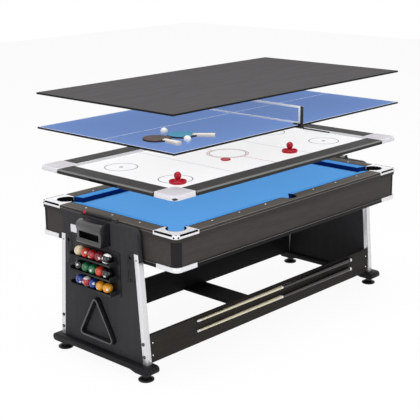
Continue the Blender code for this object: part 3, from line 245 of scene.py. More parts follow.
@dataclass(frozen=True)
class Wood(Finish):
    """Wood or printed wood grain: long streaks, darker along narrow lines."""

    streak: float = 18.0
    fine_share: float = 0.55
    contrast: Span = (0.35, 0.65)

    def pattern(self, graph: NodeGraph) -> bpy.types.NodeSocket:
        """Noise drawn out along X and sharpened into streaks."""
        coarse = graph.add("ShaderNodeTexNoise", {"Vector": self.spread(graph, self.grain), "Scale": 1.0,
                                                  "Detail": 3.0, "Distortion": 0.4}).outputs["Fac"]
        fine_scale = tuple(g * self.streak / 4 for g in self.grain)
        fine = graph.add("ShaderNodeTexNoise", {"Vector": self.spread(graph, fine_scale), "Scale": 1.0,
                                                "Detail": 6.0}).outputs["Fac"]
        both = graph.add("ShaderNodeMix", {0: self.fine_share, 2: coarse, 3: fine}).outputs[0]
        return graph.add("ShaderNodeMapRange", {0: both, 1: self.contrast[0], 2: self.contrast[1]}).outputs[0]


@dataclass(frozen=True)
class ApronWood(Wood):
    """Board whose rounded corner posts are darker than the rest."""

    post_colour: str = "#29272A"
    post_x: float = 0.944
    post_y: float = 0.504
    post_blend: float = 0.001

    def dress(self, graph: NodeGraph, shader: bpy.types.Node) -> None:
        """Darken the colour where a point lies beyond both places of the posts."""
        super().dress(graph, shader)
        grain = shader.inputs["Base Color"].links[0].from_socket
        place = self.place_parts(graph)
        beyond = []
        for axis, limit in ((0, self.post_x), (1, self.post_y)):
            away = graph.add("ShaderNodeMath", {0: place[axis]}, operation="ABSOLUTE").outputs[0]
            beyond.append(graph.add("ShaderNodeMapRange", {0: away, 1: limit - self.post_blend,
                                                           2: limit + self.post_blend}).outputs[0])
        post = graph.add("ShaderNodeMath", {0: beyond[0], 1: beyond[1]}, operation="MULTIPLY").outputs[0]
        mixed = graph.add("ShaderNodeMix", {0: post, 6: grain, 7: linear(self.post_colour)}, data_type="RGBA")
        graph.tree.links.new(mixed.outputs[2], shader.inputs["Base Color"])


@dataclass(frozen=True)
class FacedSheet(Finish):
    """Sheet whose upper side has the colour and whose underside is raw board."""

    under_colour: str = "#2B2826"
    under_height: float = 1.012

    def dress(self, graph: NodeGraph, shader: bpy.types.Node) -> None:
        """Change to the raw colour below the height where the sheet's face ends."""
        super().dress(graph, shader)
        face = shader.inputs["Base Color"].links[0].from_socket
        above = graph.add("ShaderNodeMath", {0: self.place_parts(graph)[2], 1: self.under_height},
                          operation="GREATER_THAN").outputs[0]
        mixed = graph.add("ShaderNodeMix", {0: above, 6: linear(self.under_colour), 7: face},
                          data_type="RGBA")
        graph.tree.links.new(mixed.outputs[2], shader.inputs["Base Color"])


BLACK_BOARD = Wood("black_board", "#3B3B3D", 0.55, variation=0.10, grain=(30.0, 30.0, 3.0), relief=0.05,
                   specular=0.04)
STRETCHER_BOARD = Wood("stretcher_board", "#242426", 0.55, variation=0.2, grain=(3.0, 30.0, 30.0),
                       relief=0.05, specular=0.04)
FRONT_STRETCHER = Wood("front_stretcher", "#35322F", 0.55, variation=0.12, grain=(3.0, 30.0, 30.0),
                       relief=0.05, specular=0.04)
CABINET_BOARD = ApronWood("cabinet_laminate", "#454240", 0.5, variation=0.12, grain=(2.5, 40.0, 40.0),
                          relief=0.05, specular=0.04)
RAIL_BOARD = Wood("rail_laminate", "#55504B", 0.5, variation=0.10, grain=(2.5, 40.0, 40.0), relief=0.04,
                  specular=0.03)
RAIL_SIDE = Wood("rail_side", "#3D3A38", 0.5, variation=0.10, grain=(2.5, 40.0, 40.0), relief=0.04,
                 specular=0.04)
# Pale trim lines, also used as the painted highlight along the rails' round outer edge.
LINE_AND_EDGE_HIGHLIGHT = Finish("rail_line", "#8D8884", 0.4, variation=0.05, relief=0.03, specular=0.1)
GREY_TOP = Wood("grey_laminate", "#575556", 0.6, variation=0.08, grain=(1.8, 26.0, 26.0), relief=0.04,
                specular=0.0)
BLUE_PAINT = Finish("tennis_blue", "#6D88BD", 0.6, variation=0.03, grain=even(300.0), relief=0.06,
                    specular=0.0)
LINE_PAINT = Finish("line_paint", "#F4F6FA", 0.5, variation=0.02, specular=0.05)
EDGE_BAND = Finish("edge_band", "#161617", 0.5, variation=0.1, specular=0.1)
POOL_CLOTH = Cloth("pool_cloth", "#5EA1E3", 0.95, variation=0.07, grain=even(700.0), relief=0.3,
                   depth=0.0003, specular=0.0)
CUSHION_CLOTH = Cloth("cushion_cloth", "#5096DC", 0.95, variation=0.07, grain=even(700.0), relief=0.3,
                      depth=0.0003, specular=0.0)
# Painted shade: the dark cloth of a cushion's face under its nose, which is the same cloth as its top.
SHADE_PAINTED_CLOTH = Cloth("cushion_face", "#0F3474", 0.95, variation=0.08, grain=even(700.0), relief=0.3,
                   depth=0.0003, specular=0.0)
CHROME = Finish("bright_metal", "#F0F0F2", 0.18, 0.9, variation=0.02, grain=even(25.0), relief=0.02)
CASTING_METAL = Finish("casting_metal", "#ECECEE", 0.34, 0.25, variation=0.03, grain=even(120.0),
                       relief=0.03, specular=0.2)
SATIN_METAL = Finish("satin_metal", "#E0E0E3", 0.34, 0.7, variation=0.03, grain=(300.0, 300.0, 6.0),
                     relief=0.04)
DARK_METAL = Finish("dark_metal", "#3B3B3D", 0.35, 0.8, variation=0.08, relief=0.03)
BLACK_PLASTIC = Finish("black_plastic", "#1F1F21", 0.36, variation=0.10, grain=even(500.0), relief=0.12,
                       specular=0.2)
BEAM_BLACK = Finish("beam_black", "#1D1D1F", 0.45, variation=0.08, grain=even(400.0), relief=0.08,
                    specular=0.1)
GLOSS_BLACK = Finish("gloss_black", "#18181A", 0.28, variation=0.08, grain=even(200.0), relief=0.04,
                     coat=0.3, specular=0.8)
POCKET_BLACK = Finish("pocket_black", "#0C0C0D", 0.55, variation=0.2, grain=even(250.0), relief=0.2,
                      specular=0.05)
# Grey of the caps; the band of it round their darker top is a painted highlight along the rim, and the sides
# share this grey.
CAP_GREY_AND_HIGHLIGHT = Finish("silver_grey_plastic", "#E2E0E5", 0.34, variation=0.03, grain=even(400.0),
                      relief=0.05, specular=0.15)
CAP_TOP = Finish("cap_top", "#C9C6CC", 0.4, variation=0.03, grain=even(400.0), relief=0.05, specular=0.1)
PALE_PLASTIC = Finish("pale_plastic", "#E6E7EA", 0.4, variation=0.02, relief=0.03, specular=0.15)
DECK_PLASTIC = Finish("deck_plastic", "#2F2E2E", 0.45, variation=0.06, grain=even(300.0), relief=0.08,
                      specular=0.08)
# Painted highlight on the deck rails' outer bevel.
BEVEL_HIGHLIGHT = Finish("stripe_plastic", "#767674", 0.4, variation=0.04, relief=0.04, specular=0.15)
# Painted highlight: the lighter ridges of the black deck rails and the thin frame round the lock plates.
HIGHLIGHT_GREY = Finish("rib_plastic", "#504F4E", 0.45, variation=0.05, grain=even(300.0), relief=0.05,
                     specular=0.08)
FIELD_WHITE = FacedSheet("field_white", "#FAFAFB", 0.35, variation=0.01, grain=even(200.0), relief=0.02,
                         specular=0.03)
GREY_PRINT = Finish("grey_print", "#C2C5CA", 0.4, variation=0.03, specular=0.03)
RING_PRINT = Finish("ring_print", "#74787E", 0.4, variation=0.03, specular=0.03)
RED_PRINT = Finish("red_print", "#B4262F", 0.4, variation=0.03, specular=0.03)
DARK_PRINT = Finish("dark_print", "#3A3A42", 0.4, variation=0.03, specular=0.03)
RED_PLASTIC = Finish("red_plastic", "#AE1029", 0.25, variation=0.05, relief=0.02, coat=0.15, specular=0.2)
NET_CORD = Cloth("net_cord", "#8C9FC6", 0.85, variation=0.06, relief=0.2, thread=3000.0, specular=0.1)
NET_TAPE = Cloth("net_tape", "#F8F8FA", 0.85, variation=0.03, relief=0.25, thread=2500.0, specular=0.1)
BROWN_RUBBER = Finish("brown_rubber", "#655A56", 0.75, variation=0.10, grain=even(900.0), relief=0.3,
                      specular=0.05)
BLUE_RUBBER = Finish("blue_rubber", "#5593AF", 0.75, variation=0.08, grain=even(900.0), relief=0.3,
                     specular=0.05)
# The blade's wood edge with its grain, darkened as painted shade between the rubber sheets.
SHADED_BLADE_EDGE = Wood("blade_edge", "#3A302C", 0.5, variation=0.16, grain=even(120.0), relief=0.06,
                  specular=0.1)
GRIP_WOOD = Wood("grip_wood", "#EBE3D6", 0.5, variation=0.08, grain=even(120.0), relief=0.06, specular=0.1)
CUE_WOOD = Wood("cue_maple", "#F0E6C8", 0.22, variation=0.08, grain=(8.0, 160.0, 160.0), relief=0.03,
                coat=0.3)
CUE_BUTT = Wood("cue_butt", "#1E1A19", 0.22, variation=0.25, grain=(8.0, 160.0, 160.0), relief=0.03,
                coat=0.3)
BALL_WHITE = Finish("white_celluloid", "#F8F8F6", 0.38, variation=0.01, relief=0.02, specular=0.2)


def arc(centre: Point2, radius: float, start: float, end: float, steps: int = 8) -> list[Point2]:
    """Points of an arc, both ends included.

    Args:
        centre: Middle of the arc.
        radius: Its radius.
        start: First angle in radians.
        end: Last angle in radians.
        steps: Number of chords.

    Returns:
        The points in order.
    """
    turn = (end - start) / steps
    return [(centre[0] + radius * math.cos(start + turn * i), centre[1] + radius * math.sin(start + turn * i))
            for i in range(steps + 1)]


def circle(centre: Point2, radius: float, sides: int = 48) -> list[Point2]:
    """Points of a whole circle."""
    return arc(centre, radius, 0.0, math.tau, sides)[:-1]


def rounded_box(half_a: float, half_b: float, radius: float, steps: int = 8) -> list[Point2]:
    """Outline of a rectangle with round corners about the origin.

    Args:
        half_a: Half size along the first direction.
        half_b: Half size along the second direction.
        radius: Corner radius.
        steps: Chords in each corner.

    Returns:
        The outline, anticlockwise.
    """
    points: list[Point2] = []
    for i, (a, b) in enumerate(((1, 1), (-1, 1), (-1, -1), (1, -1))):
        centre = (a * (half_a - radius), b * (half_b - radius))
        points += arc(centre, radius, i * math.pi / 2, (i + 1) * math.pi / 2, steps)
    return points


def on_axis(axis: Axis, along: float, a: float, b: float) -> Point3:
    """Place of a point given along an axis and across it."""
    return ((along, a, b), (a, along, b), (a, b, along))[axis.value]


def span_of(sign: int, inner: float, outer: float) -> Span:
    """A span between two distances from the middle, on one side, low end first."""
    low, high = sorted((sign * inner, sign * outer))
    return (low, high)


def grown(span: Span, extra: float) -> Span:
    """The span made longer by as much at both ends."""
    return (span[0] - extra, span[1] + extra)


def loft(rings: Sequence[Sequence[Point3]]) -> bmesh.types.BMesh:
    """Join rings of as many points each into a closed shape with flat ends."""
    shape = bmesh.new()
    loops = [[shape.verts.new(point) for point in ring] for ring in rings]
    shape.faces.new(loops[0])
    shape.faces.new(loops[-1])
    for lower, upper in zip(loops, loops[1:]):
        for i in range(len(lower)):
            j = (i + 1) % len(lower)
            shape.faces.new((lower[i], lower[j], upper[j], upper[i]))
    bmesh.ops.recalc_face_normals(shape, faces=shape.faces[:])
    return shape


def prism(outline: Sequence[Point2], axis: Axis, span: Span) -> bmesh.types.BMesh:
    """Extrude a closed outline along an axis.

    Args:
        outline: Points across the axis, in the order of the row axes.
        axis: Direction of extrusion.
        span: Where it starts and ends along the axis.

    Returns:
        The closed shape.
    """
    return loft([[on_axis(axis, along, a, b) for a, b in outline] for along in span])


def oblong(first: Span, second: Span) -> list[Point2]:
    """Outline of a rectangle between two spans."""
    return [(first[0], second[0]), (first[1], second[0]), (first[1], second[1]), (first[0], second[1])]


def corner_places(half_length: float, half_width: float, end: End, side: Side) -> CornerPlace:
    """Function that turns distances from a corner's two outer faces into a point."""
    return lambda u, v: (end.value * (half_length - u), side.value * (half_width - v))


def block(xs: Span, ys: Span, zs: Span) -> bmesh.types.BMesh:
    """Closed block between three spans, to be cut or softened."""
    return prism(oblong(xs, ys), Axis.Z, zs)


def block_between(first: Point2, second: Point2, zs: Span) -> bmesh.types.BMesh:
    """Closed block between two opposite corners of its plan."""
    (x1, x2), (y1, y2) = (sorted(pair) for pair in zip(first, second))
    return block((x1, x2), (y1, y2), zs)


def turned(profile: Sequence[Point2], axis: Axis, centre: Point3, sides: int = 48) -> bmesh.types.BMesh:
    """Turn a profile of radius and place about an axis.

    Args:
        profile: Points as (radius, place along the axis); radius 0 closes the shape on the axis.
        axis: The axis turned about.
        centre: Point that the profile's places count from.
        sides: Steps round the axis.

    Returns:
        The closed shape.
    """
    shape = bmesh.new()
    rings: list[list[bmesh.types.BMVert]] = []
    for radius, along in profile:
        angles = [0.0] if radius == 0 else [math.tau * i / sides for i in range(sides)]
        around = [on_axis(axis, along, radius * math.cos(t), radius * math.sin(t)) for t in angles]
        rings.append([shape.verts.new(Vector(centre) + Vector(point)) for point in around])
    pairs = list(zip(rings, rings[1:]))
    if profile[0][0] > 0 and profile[-1][0] > 0:
        pairs.append((rings[-1], rings[0]))
    for lower, upper in pairs:
        for i in range(sides):
            j = (i + 1) % sides
            if len(lower) == 1:
                shape.faces.new((lower[0], upper[i], upper[j]))
            elif len(upper) == 1:
                shape.faces.new((lower[i], upper[0], lower[j]))
            else:
                shape.faces.new((lower[i], upper[i], upper[j], lower[j]))
    bmesh.ops.recalc_face_normals(shape, faces=shape.faces[:])
    return shape


def rod(radius: float, span: Span, axis: Axis, centre: Point3, sides: int = 48) -> bmesh.types.BMesh:
    """Closed round rod along an axis, mostly to cut a hole with."""
    return turned([(0.0, span[0]), (radius, span[0]), (radius, span[1]), (0.0, span[1])], axis, centre, sides)


def ring_band(centre: Point2, radius: float, width: float, zs: Span, sides: int = 64) -> bmesh.types.BMesh:
    """Flat printed ring.

    Args:
        centre: Middle of the ring in X and Y.
        radius: Radius of the line's middle.
        width: Width of the line.
        zs: Underside and top.
        sides: Steps round it.

    Returns:
        The closed shape.
    """
    half = width / 2
    return turned(oblong((radius - half, radius + half), zs), Axis.Z, (*centre, 0.0), sides)


def new_object(name: str, data: bpy.types.ID) -> bpy.types.Object:
    """Make an object and link it to the scene."""
    item = bpy.data.objects.new(name, data)
    bpy.context.collection.objects.link(item)
    return item


def shape_object(name: str, shape: bmesh.types.BMesh) -> bpy.types.Object:
    """Make an object of a shape, which is used up."""
    mesh = bpy.data.meshes.new(name)
    shape.to_mesh(mesh)
    shape.free()
    return new_object(name, mesh)


def plain_mesh(item: bpy.types.Object) -> bpy.types.Mesh:
    """The object's mesh with its modifiers applied."""
    bpy.context.view_layer.update()
    return bpy.data.meshes.new_from_object(item.evaluated_get(bpy.context.evaluated_depsgraph_get()))


def settle(item: bpy.types.Object) -> None:
    """Apply an object's modifiers to its mesh."""
    item.data = plain_mesh(item)
    item.data.name = item.name
    item.modifiers.clear()


def carve(target: bmesh.types.BMesh, tools: Iterable[bmesh.types.BMesh]) -> bmesh.types.BMesh:
    """Cut closed shapes out of a closed shape.

    Args:
        target: The shape that is cut.
        tools: The shapes that are taken away.

    Returns:
        The cut shape.
    """
    item = shape_object("carved", target)
    helpers = [shape_object("tool", tool) for tool in tools]
    for helper in helpers:
        step = item.modifiers.new("cut", "BOOLEAN")
        step.operation = "DIFFERENCE"
        step.solver = "EXACT"
        step.object = helper
    result = plain_mesh(item)
    shape = bmesh.new()
    shape.from_mesh(result)
    for used in (item, *helpers):
        bpy.data.objects.remove(used, do_unlink=True)
    bpy.data.meshes.remove(result)
    return shape


@dataclass
class Piece:
    """A piece of the scene, gathered from closed shells before it becomes an object."""

    name: str
    body: str
    finish: Finish
    replaces: tuple[str, ...] = ()
    bevel: float = 0.0
    bevel_steps: int = 2
    smooth_degrees: float = SMOOTH_DEGREES
    shells: list[tuple[bmesh.types.BMesh, Finish]] = field(default_factory=list)

    def add(self, shell: bmesh.types.BMesh, finish: Finish | None = None) -> Piece:
        """Add a closed shell, in the piece's finish unless another is given."""
        self.shells.append((shell, finish or self.finish))
        return self

    def build(self) -> bpy.types.Object:
        """Join the shells into one object, soften it and tie it to its body.

        Returns:
            The finished object.
        """
        whole = bmesh.new()
        finishes: list[Finish] = []
        for shell, finish in self.shells:
            if finish not in finishes:
                finishes.append(finish)
            for face in shell.faces:
                face.material_index = finishes.index(finish)
            mesh = bpy.data.meshes.new("shell")
            shell.to_mesh(mesh)
            shell.free()
            whole.from_mesh(mesh)
            bpy.data.meshes.remove(mesh)
        item = shape_object(self.name, whole)
        for finish in finishes:
            item.data.materials.append(finish.material())
        if self.bevel > 0:
            soften(item, self.bevel, self.bevel_steps)
            settle(item)
        item.data.shade_smooth()
        item.data.set_sharp_from_angle(angle=math.radians(self.smooth_degrees))
        return self.tie(item)

    def tie(self, item: bpy.types.Object) -> bpy.types.Object:
        """Let an object ride on the piece's body and stand for its nodes."""
        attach(item, self.body)
        if self.replaces:
            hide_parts(*self.replaces)
        LOG.info("%s on %s: %d faces", self.name, self.body, len(item.data.polygons))
        return item


def soften(item: bpy.types.Object, width: float, steps: int) -> None:
    """Give an object a bevel on its sharp edges.

    Args:
        item: The object.
        width: Width of the bevel.
        steps: Its segments.
    """
    edge = item.modifiers.new("edges", "BEVEL")
    edge.width = width
    edge.segments = steps
    edge.limit_method = "ANGLE"
    edge.angle_limit = math.radians(BEVEL_DEGREES)
    edge.use_clamp_overlap = True


class NodeTool:
    """Geometry Nodes tree that is built once and fed by the labels of its inputs."""

    title: str = ""
    inputs: tuple[tuple[str, str], ...] = ()
    tree: bpy.types.NodeTree | None = None
    keys: dict[str, str] = {}

    @classmethod
    def wire(cls, graph: NodeGraph, source: bpy.types.bpy_prop_collection) -> bpy.types.NodeSocket:
        """Link the nodes that make the tree's geometry.

        Args:
            graph: The tree.
            source: The sockets of its inputs, by label.

        Returns:
            The socket with the geometry.
        """
        raise NotImplementedError

    @classmethod
    def get(cls) -> bpy.types.NodeTree:
        """Build the node tree once and keep the identifiers of its inputs."""
        if cls.tree is not None:
            return cls.tree
        tree = bpy.data.node_groups.new(cls.title, "GeometryNodeTree")
        tree.interface.new_socket("Geometry", in_out="INPUT", socket_type="NodeSocketGeometry")
        cls.keys = {label: tree.interface.new_socket(label, in_out="INPUT", socket_type=kind).identifier
                    for label, kind in cls.inputs}
        tree.interface.new_socket("Geometry", in_out="OUTPUT", socket_type="NodeSocketGeometry")
        graph = NodeGraph(tree)
        source = graph.add("NodeGroupInput").outputs
        made = cls.wire(graph, source)
        if "Finish" in cls.keys:
            real = graph.add("GeometryNodeRealizeInstances", {0: made}).outputs[0]
            made = graph.add("GeometryNodeSetMaterial",
                             {"Geometry": real, "Material": source["Finish"]}).outputs[0]
        graph.add("NodeGroupOutput", {0: made})
        cls.tree = tree
        return tree

    @classmethod
    def attach(cls, item: bpy.types.Object, values: dict[str, object]) -> None:
        """Put the tree on an object as a modifier, with values for its inputs."""
        step = item.modifiers.new(cls.title, "NODES")
        step.node_group = cls.get()
        for label, value in values.items():
            step[cls.keys[label]] = value

    @classmethod
    def make(cls, piece: Piece, values: dict[str, object],
             mesh: bpy.types.Mesh | None = None) -> bpy.types.Object:
        """Run the tree and make its result one piece.

        Args:
            piece: Name, body and finish of the result.
            values: Values by the labels of the tree's inputs.
            mesh: What the tree works on, or nothing.

        Returns:
            The finished object.
        """
        item = new_object(piece.name, mesh if mesh is not None else bpy.data.meshes.new(piece.name))
        cls.attach(item, {**values, "Finish": piece.finish.material()})
        settle(item)
        return piece.tie(item)


class SmoothShading(NodeTool):
    """Geometry Nodes that shade a carried node's rounds smooth and keep its edges sharp."""

    title = "smooth_shading"
    inputs = (("Sharp Angle", "NodeSocketFloat"),)

    @classmethod
    def wire(cls, graph: NodeGraph, source: bpy.types.bpy_prop_collection) -> bpy.types.NodeSocket:
        """Shade all faces smooth, then mark the edges that are steeper than the angle."""
        angle = graph.add("GeometryNodeInputMeshEdgeAngle").outputs[0]
        sharp = graph.add("FunctionNodeCompare", {0: angle, 1: source["Sharp Angle"]},
                          operation="GREATER_THAN").outputs[0]
        faces = graph.add("GeometryNodeSetShadeSmooth", {0: source["Geometry"], 2: True},
                          domain="FACE").outputs[0]
        return graph.add("GeometryNodeSetShadeSmooth", {0: faces, 1: sharp, 2: False},
                         domain="EDGE").outputs[0]


def dress_node(name: str, finish: Finish, bevel: float = 0.001, steps: int = 2) -> None:
    """Give a carried node its finish, soft edges and smooth rounds.

    Args:
        name: The node's name.
        finish: Its new finish.
        bevel: Width of its edges' bevel, or 0 for none.
        steps: Segments of the bevel.
    """
    node = bpy.data.objects[name]
    for place in node.material_slots:
        place.material = finish.material()
    if not node.material_slots:
        node.data.materials.append(finish.material())
    weld = node.modifiers.new("merge", "WELD")
    weld.merge_threshold = MERGE_DISTANCE
    if bevel > 0:
        soften(node, bevel, steps)
    SmoothShading.attach(node, {"Sharp Angle": math.radians(SMOOTH_DEGREES)})
    LOG.info("%s keeps its shape, in %s", name, finish.name)


class Scatter(NodeTool):
    """Geometry Nodes that set a template on points, each turned as its attribute says."""

    title = "scatter_template"
    inputs = (("Template", "NodeSocketObject"), ("Finish", "NodeSocketMaterial"))

    @classmethod
    def wire(cls, graph: NodeGraph, source: bpy.types.bpy_prop_collection) -> bpy.types.NodeSocket:
        """Set the template on every point."""
        turn = graph.add("GeometryNodeInputNamedAttribute", {"Name": "turn"},
                         data_type="FLOAT_VECTOR").outputs[0]
        rotation = graph.add("FunctionNodeEulerToRotation", {0: turn}).outputs[0]
        shape = graph.add("GeometryNodeObjectInfo", {"Object": source["Template"]}).outputs["Geometry"]
        return graph.add("GeometryNodeInstanceOnPoints", {"Points": source["Geometry"], "Instance": shape,
                                                          "Rotation": rotation}).outputs[0]

    @classmethod
    def place(cls, piece: Piece, template: bmesh.types.BMesh, spots: Sequence[Spot]) -> bpy.types.Object:
        """Set copies of a template on the spots and make them one piece.

        Args:
            piece: Name, body and finish of the result.
            template: The shape that is repeated, pointing along +Z from its own origin.
            spots: A place and the direction that each copy faces.

        Returns:
            The finished object.
        """
        model = shape_object("template", template)
        model.data.shade_smooth()
        model.data.set_sharp_from_angle(angle=math.radians(SMOOTH_DEGREES))
        points = bpy.data.meshes.new(piece.name)
        points.from_pydata([spot for spot, _ in spots], [], [])
        turns = points.attributes.new("turn", "FLOAT_VECTOR", "POINT")
        for value, (_, facing) in zip(turns.data, spots):
            value.vector = Vector((0, 0, 1)).rotation_difference(Vector(facing)).to_euler()
        made = cls.make(piece, {"Template": model}, points)
        bpy.data.objects.remove(model, do_unlink=True)
        return made


class RibRow(NodeTool):
    """Geometry Nodes that lay parallel ribs side by side."""

    title = "rib_row"
    inputs = (("Count", "NodeSocketInt"), ("Start", "NodeSocketVector"), ("Step", "NodeSocketVector"),
              ("Rib Size", "NodeSocketVector"), ("Finish", "NodeSocketMaterial"))

    @classmethod
    def wire(cls, graph: NodeGraph, source: bpy.types.bpy_prop_collection) -> bpy.types.NodeSocket:
        """Set a bar on every point of a line."""
        line = graph.add("GeometryNodeMeshLine", {"Count": source["Count"], "Start Location": source["Start"],
                                                  "Offset": source["Step"]}).outputs[0]
        bar = graph.add("GeometryNodeMeshCube", {"Size": source["Rib Size"]}).outputs[0]
        return graph.add("GeometryNodeInstanceOnPoints", {"Points": line, "Instance": bar}).outputs[0]


class NetMesh(NodeTool):
    """Geometry Nodes that knot a flat upright net from a grid of cords."""

    title = "net_mesh"
    inputs = (("Length", "NodeSocketFloat"), ("Height", "NodeSocketFloat"), ("Across", "NodeSocketInt"),
              ("Up", "NodeSocketInt"), ("Cord Radius", "NodeSocketFloat"),
              ("Middle Height", "NodeSocketFloat"), ("Finish", "NodeSocketMaterial"))

    @classmethod
    def wire(cls, graph: NodeGraph, source: bpy.types.bpy_prop_collection) -> bpy.types.NodeSocket:
        """Stand a grid upright and run a square cord along each of its edges."""
        grid = graph.add("GeometryNodeMeshGrid", {"Size X": source["Length"], "Size Y": source["Height"],
                                                  "Vertices X": source["Across"], "Vertices Y": source["Up"]})
        lift = graph.add("ShaderNodeCombineXYZ", {2: source["Middle Height"]}).outputs[0]
        upright = graph.add("GeometryNodeTransform", {"Geometry": grid.outputs[0], "Translation": lift,
                                                      "Rotation": (math.pi / 2, 0.0, math.pi / 2)}).outputs[0]
        lines = graph.add("GeometryNodeMeshToCurve", {0: upright}).outputs[0]
        section = graph.add("GeometryNodeCurvePrimitiveCircle", {"Resolution": 4,
                                                                 "Radius": source["Cord Radius"]}).outputs[0]
        return graph.add("GeometryNodeCurveToMesh", {"Curve": lines, "Profile Curve": section,
                                                     "Fill Caps": True}).outputs[0]


def screw_head(radius: float, rise: float, cross: bool = True) -> bmesh.types.BMesh:
    """Domed screw head with a cross or a hexagon sunk in it.

    Args:
        radius: Radius of the head.
        rise: Height of the dome.
        cross: True for a cross, False for a hexagon socket.

    Returns:
        The head, pointing along +Z, with its underside a little below its origin.
    """
    dome_shares = ((0.0, -0.5), (1.0, -0.5), (1.0, 0.2), (0.92, 0.6), (0.6, 0.92), (0.0, 1.0))
    head = turned([(radius * r, rise * z) for r, z in dome_shares], Axis.Z, ORIGIN, 20)
    if not cross:
        socket_share, floor_share = 0.5, 0.25
        return carve(head, [prism(circle((0.0, 0.0), radius * socket_share, 6), Axis.Z,
                                  (rise * floor_share, rise * 2))])
    long_share, thin_share, floor_share = 0.62, 0.11, 0.4
    slots = [block(span_of(1, -a, a), span_of(1, -b, b), (rise * floor_share, rise * 2))
             for a, b in ((radius * long_share, radius * thin_share),
                          (radius * thin_share, radius * long_share))]
    return carve(head, slots)


@dataclass
class Studio:
    """Camera at the photograph's place, soft lamps, pale floor and white surroundings."""

    eye: Point3 = (-4.4332, -4.0600, 2.3491)
    yaw: float = 0.7598
    pitch: float = -0.2729
    roll: float = -0.0128
    focal_pixels: float = 1021.58
    frame_pixels: float = 420.0
    sensor: float = 36.0
    sight_range: float = 60.0
    lamp_aim: Point3 = (0.0, 0.0, 0.9)
    soft_colour: Point3 = (0.97, 0.98, 1.0)
    soft_strength: float = 0.32
    floor_half: float = 14.0
    floor_grey: float = 0.90
    floor_white_share: float = 0.94
    lifted: tuple[str, ...] = ("dining_top", "table_tennis_top", "table_net", "tennis_", "net_", "paddle_",
                               "deck_", "field_", "mallet_", "puck")

    def set_camera(self) -> None:
        """Make the camera and turn it the photograph's way."""
        data = bpy.data.cameras.new("camera")
        data.sensor_width = self.sensor
        data.lens = self.focal_pixels * self.sensor / self.frame_pixels
        data.clip_end = self.sight_range
        camera = new_object("camera", data)
        ahead = Vector((math.cos(self.pitch) * math.cos(self.yaw), math.cos(self.pitch) * math.sin(self.yaw),
                        math.sin(self.pitch)))
        right = ahead.cross(Vector((0, 0, 1))).normalized()
        up = right.cross(ahead)
        across = right * math.cos(self.roll) + up * math.sin(self.roll)
        upright = up * math.cos(self.roll) - right * math.sin(self.roll)
        turn = Matrix((across, upright, -ahead)).transposed().to_4x4()
        camera.matrix_world = Matrix.Translation(self.eye) @ turn
        bpy.context.scene.camera = camera

    def set_lamps(self) -> None:
        """Light the table evenly from above, the front and the ball rack's end."""
        lamps = (("lamp_front", (-1.0, -5.2, 1.9), 4.5, 78.0), ("lamp_end", (-5.4, -0.6, 1.7), 3.5, 66.0),
                 ("lamp_above", (-0.5, -0.5, 9.0), 7.0, 690.0))
        for name, place, size, power in lamps:
            data = bpy.data.lights.new(name, "AREA")
            data.size = size
            data.energy = power
            lamp = new_object(name, data)
            lamp.location = place
            lamp.rotation_euler = (Vector(self.lamp_aim) - Vector(place)).to_track_quat("-Z", "Y").to_euler()

    def light_layers(self) -> None:
        """Let the upper lamp shine past the lifted layers, so each one is lit as if it lay alone."""
        group = bpy.data.collections.new("lifted_layers")
        for item in bpy.data.objects:
            if item.type == "MESH" and item.name.startswith(self.lifted):
                group.objects.link(item)
        for link in group.collection_objects:
            link.light_linking.link_state = "EXCLUDE"
        bpy.data.objects["lamp_above"].light_linking.blocker_collection = group

    def set_surroundings(self) -> None:
        """Make the world pale for light, white for the camera and reflections."""
        world = bpy.data.worlds.new("world")
        world.use_nodes = True
        bpy.context.scene.world = world
        graph = NodeGraph(world.node_tree)
        graph.tree.nodes.clear()
        soft = graph.add("ShaderNodeBackground", {"Color": (*self.soft_colour, 1.0),
                                                  "Strength": self.soft_strength}).outputs[0]
        white = graph.add("ShaderNodeBackground", {"Color": WHITE, "Strength": 1.0}).outputs[0]
        both = graph.add("ShaderNodeMixShader", {0: self.seen_ray(graph), 1: soft, 2: white}).outputs[0]
        graph.add("ShaderNodeOutputWorld", {0: both})
        bpy.context.scene.view_settings.view_transform = "Standard"

    def seen_ray(self, graph: NodeGraph) -> bpy.types.NodeSocket:
        """One where a camera, glossy or transmission ray asks, zero otherwise."""
        path = graph.add("ShaderNodeLightPath").outputs
        some = graph.add("ShaderNodeMath", {0: path["Is Camera Ray"], 1: path["Is Glossy Ray"]},
                         operation="MAXIMUM").outputs[0]
        return graph.add("ShaderNodeMath", {0: some, 1: path["Is Transmission Ray"]},
                         operation="MAXIMUM").outputs[0]

    def set_floor(self) -> None:
        """Lay a pale floor that keeps the table's shadow."""
        mesh = bpy.data.meshes.new("floor")
        half = self.floor_half
        corners = [(x, y, 0.0) for x, y in oblong((-half, half), (-half, half))]
        mesh.from_pydata(corners, [], [(0, 1, 2, 3)])
        made = bpy.data.materials.new("pale_floor")
        made.use_nodes = True
        graph = NodeGraph(made.node_tree)
        graph.tree.nodes.clear()
        lit = graph.add("ShaderNodeBsdfPrincipled", {"Base Color": (*even(self.floor_grey), 1.0),
                                                     "Roughness": 0.9, "Specular IOR Level": 0.0}).outputs[0]
        white = graph.add("ShaderNodeEmission", {"Color": WHITE, "Strength": 1.0}).outputs[0]
        share = graph.add("ShaderNodeMath", {0: self.seen_ray(graph), 1: self.floor_white_share},
                          operation="MULTIPLY").outputs[0]
        both = graph.add("ShaderNodeMixShader", {0: share, 1: lit, 2: white}).outputs[0]
        graph.add("ShaderNodeOutputMaterial", {0: both})
        mesh.materials.append(made)
        floor = new_object("floor", mesh)

    def build(self) -> None:
        """Set camera, lamps, world and floor."""
        self.set_camera()
        self.set_lamps()
        self.set_surroundings()
        self.set_floor()


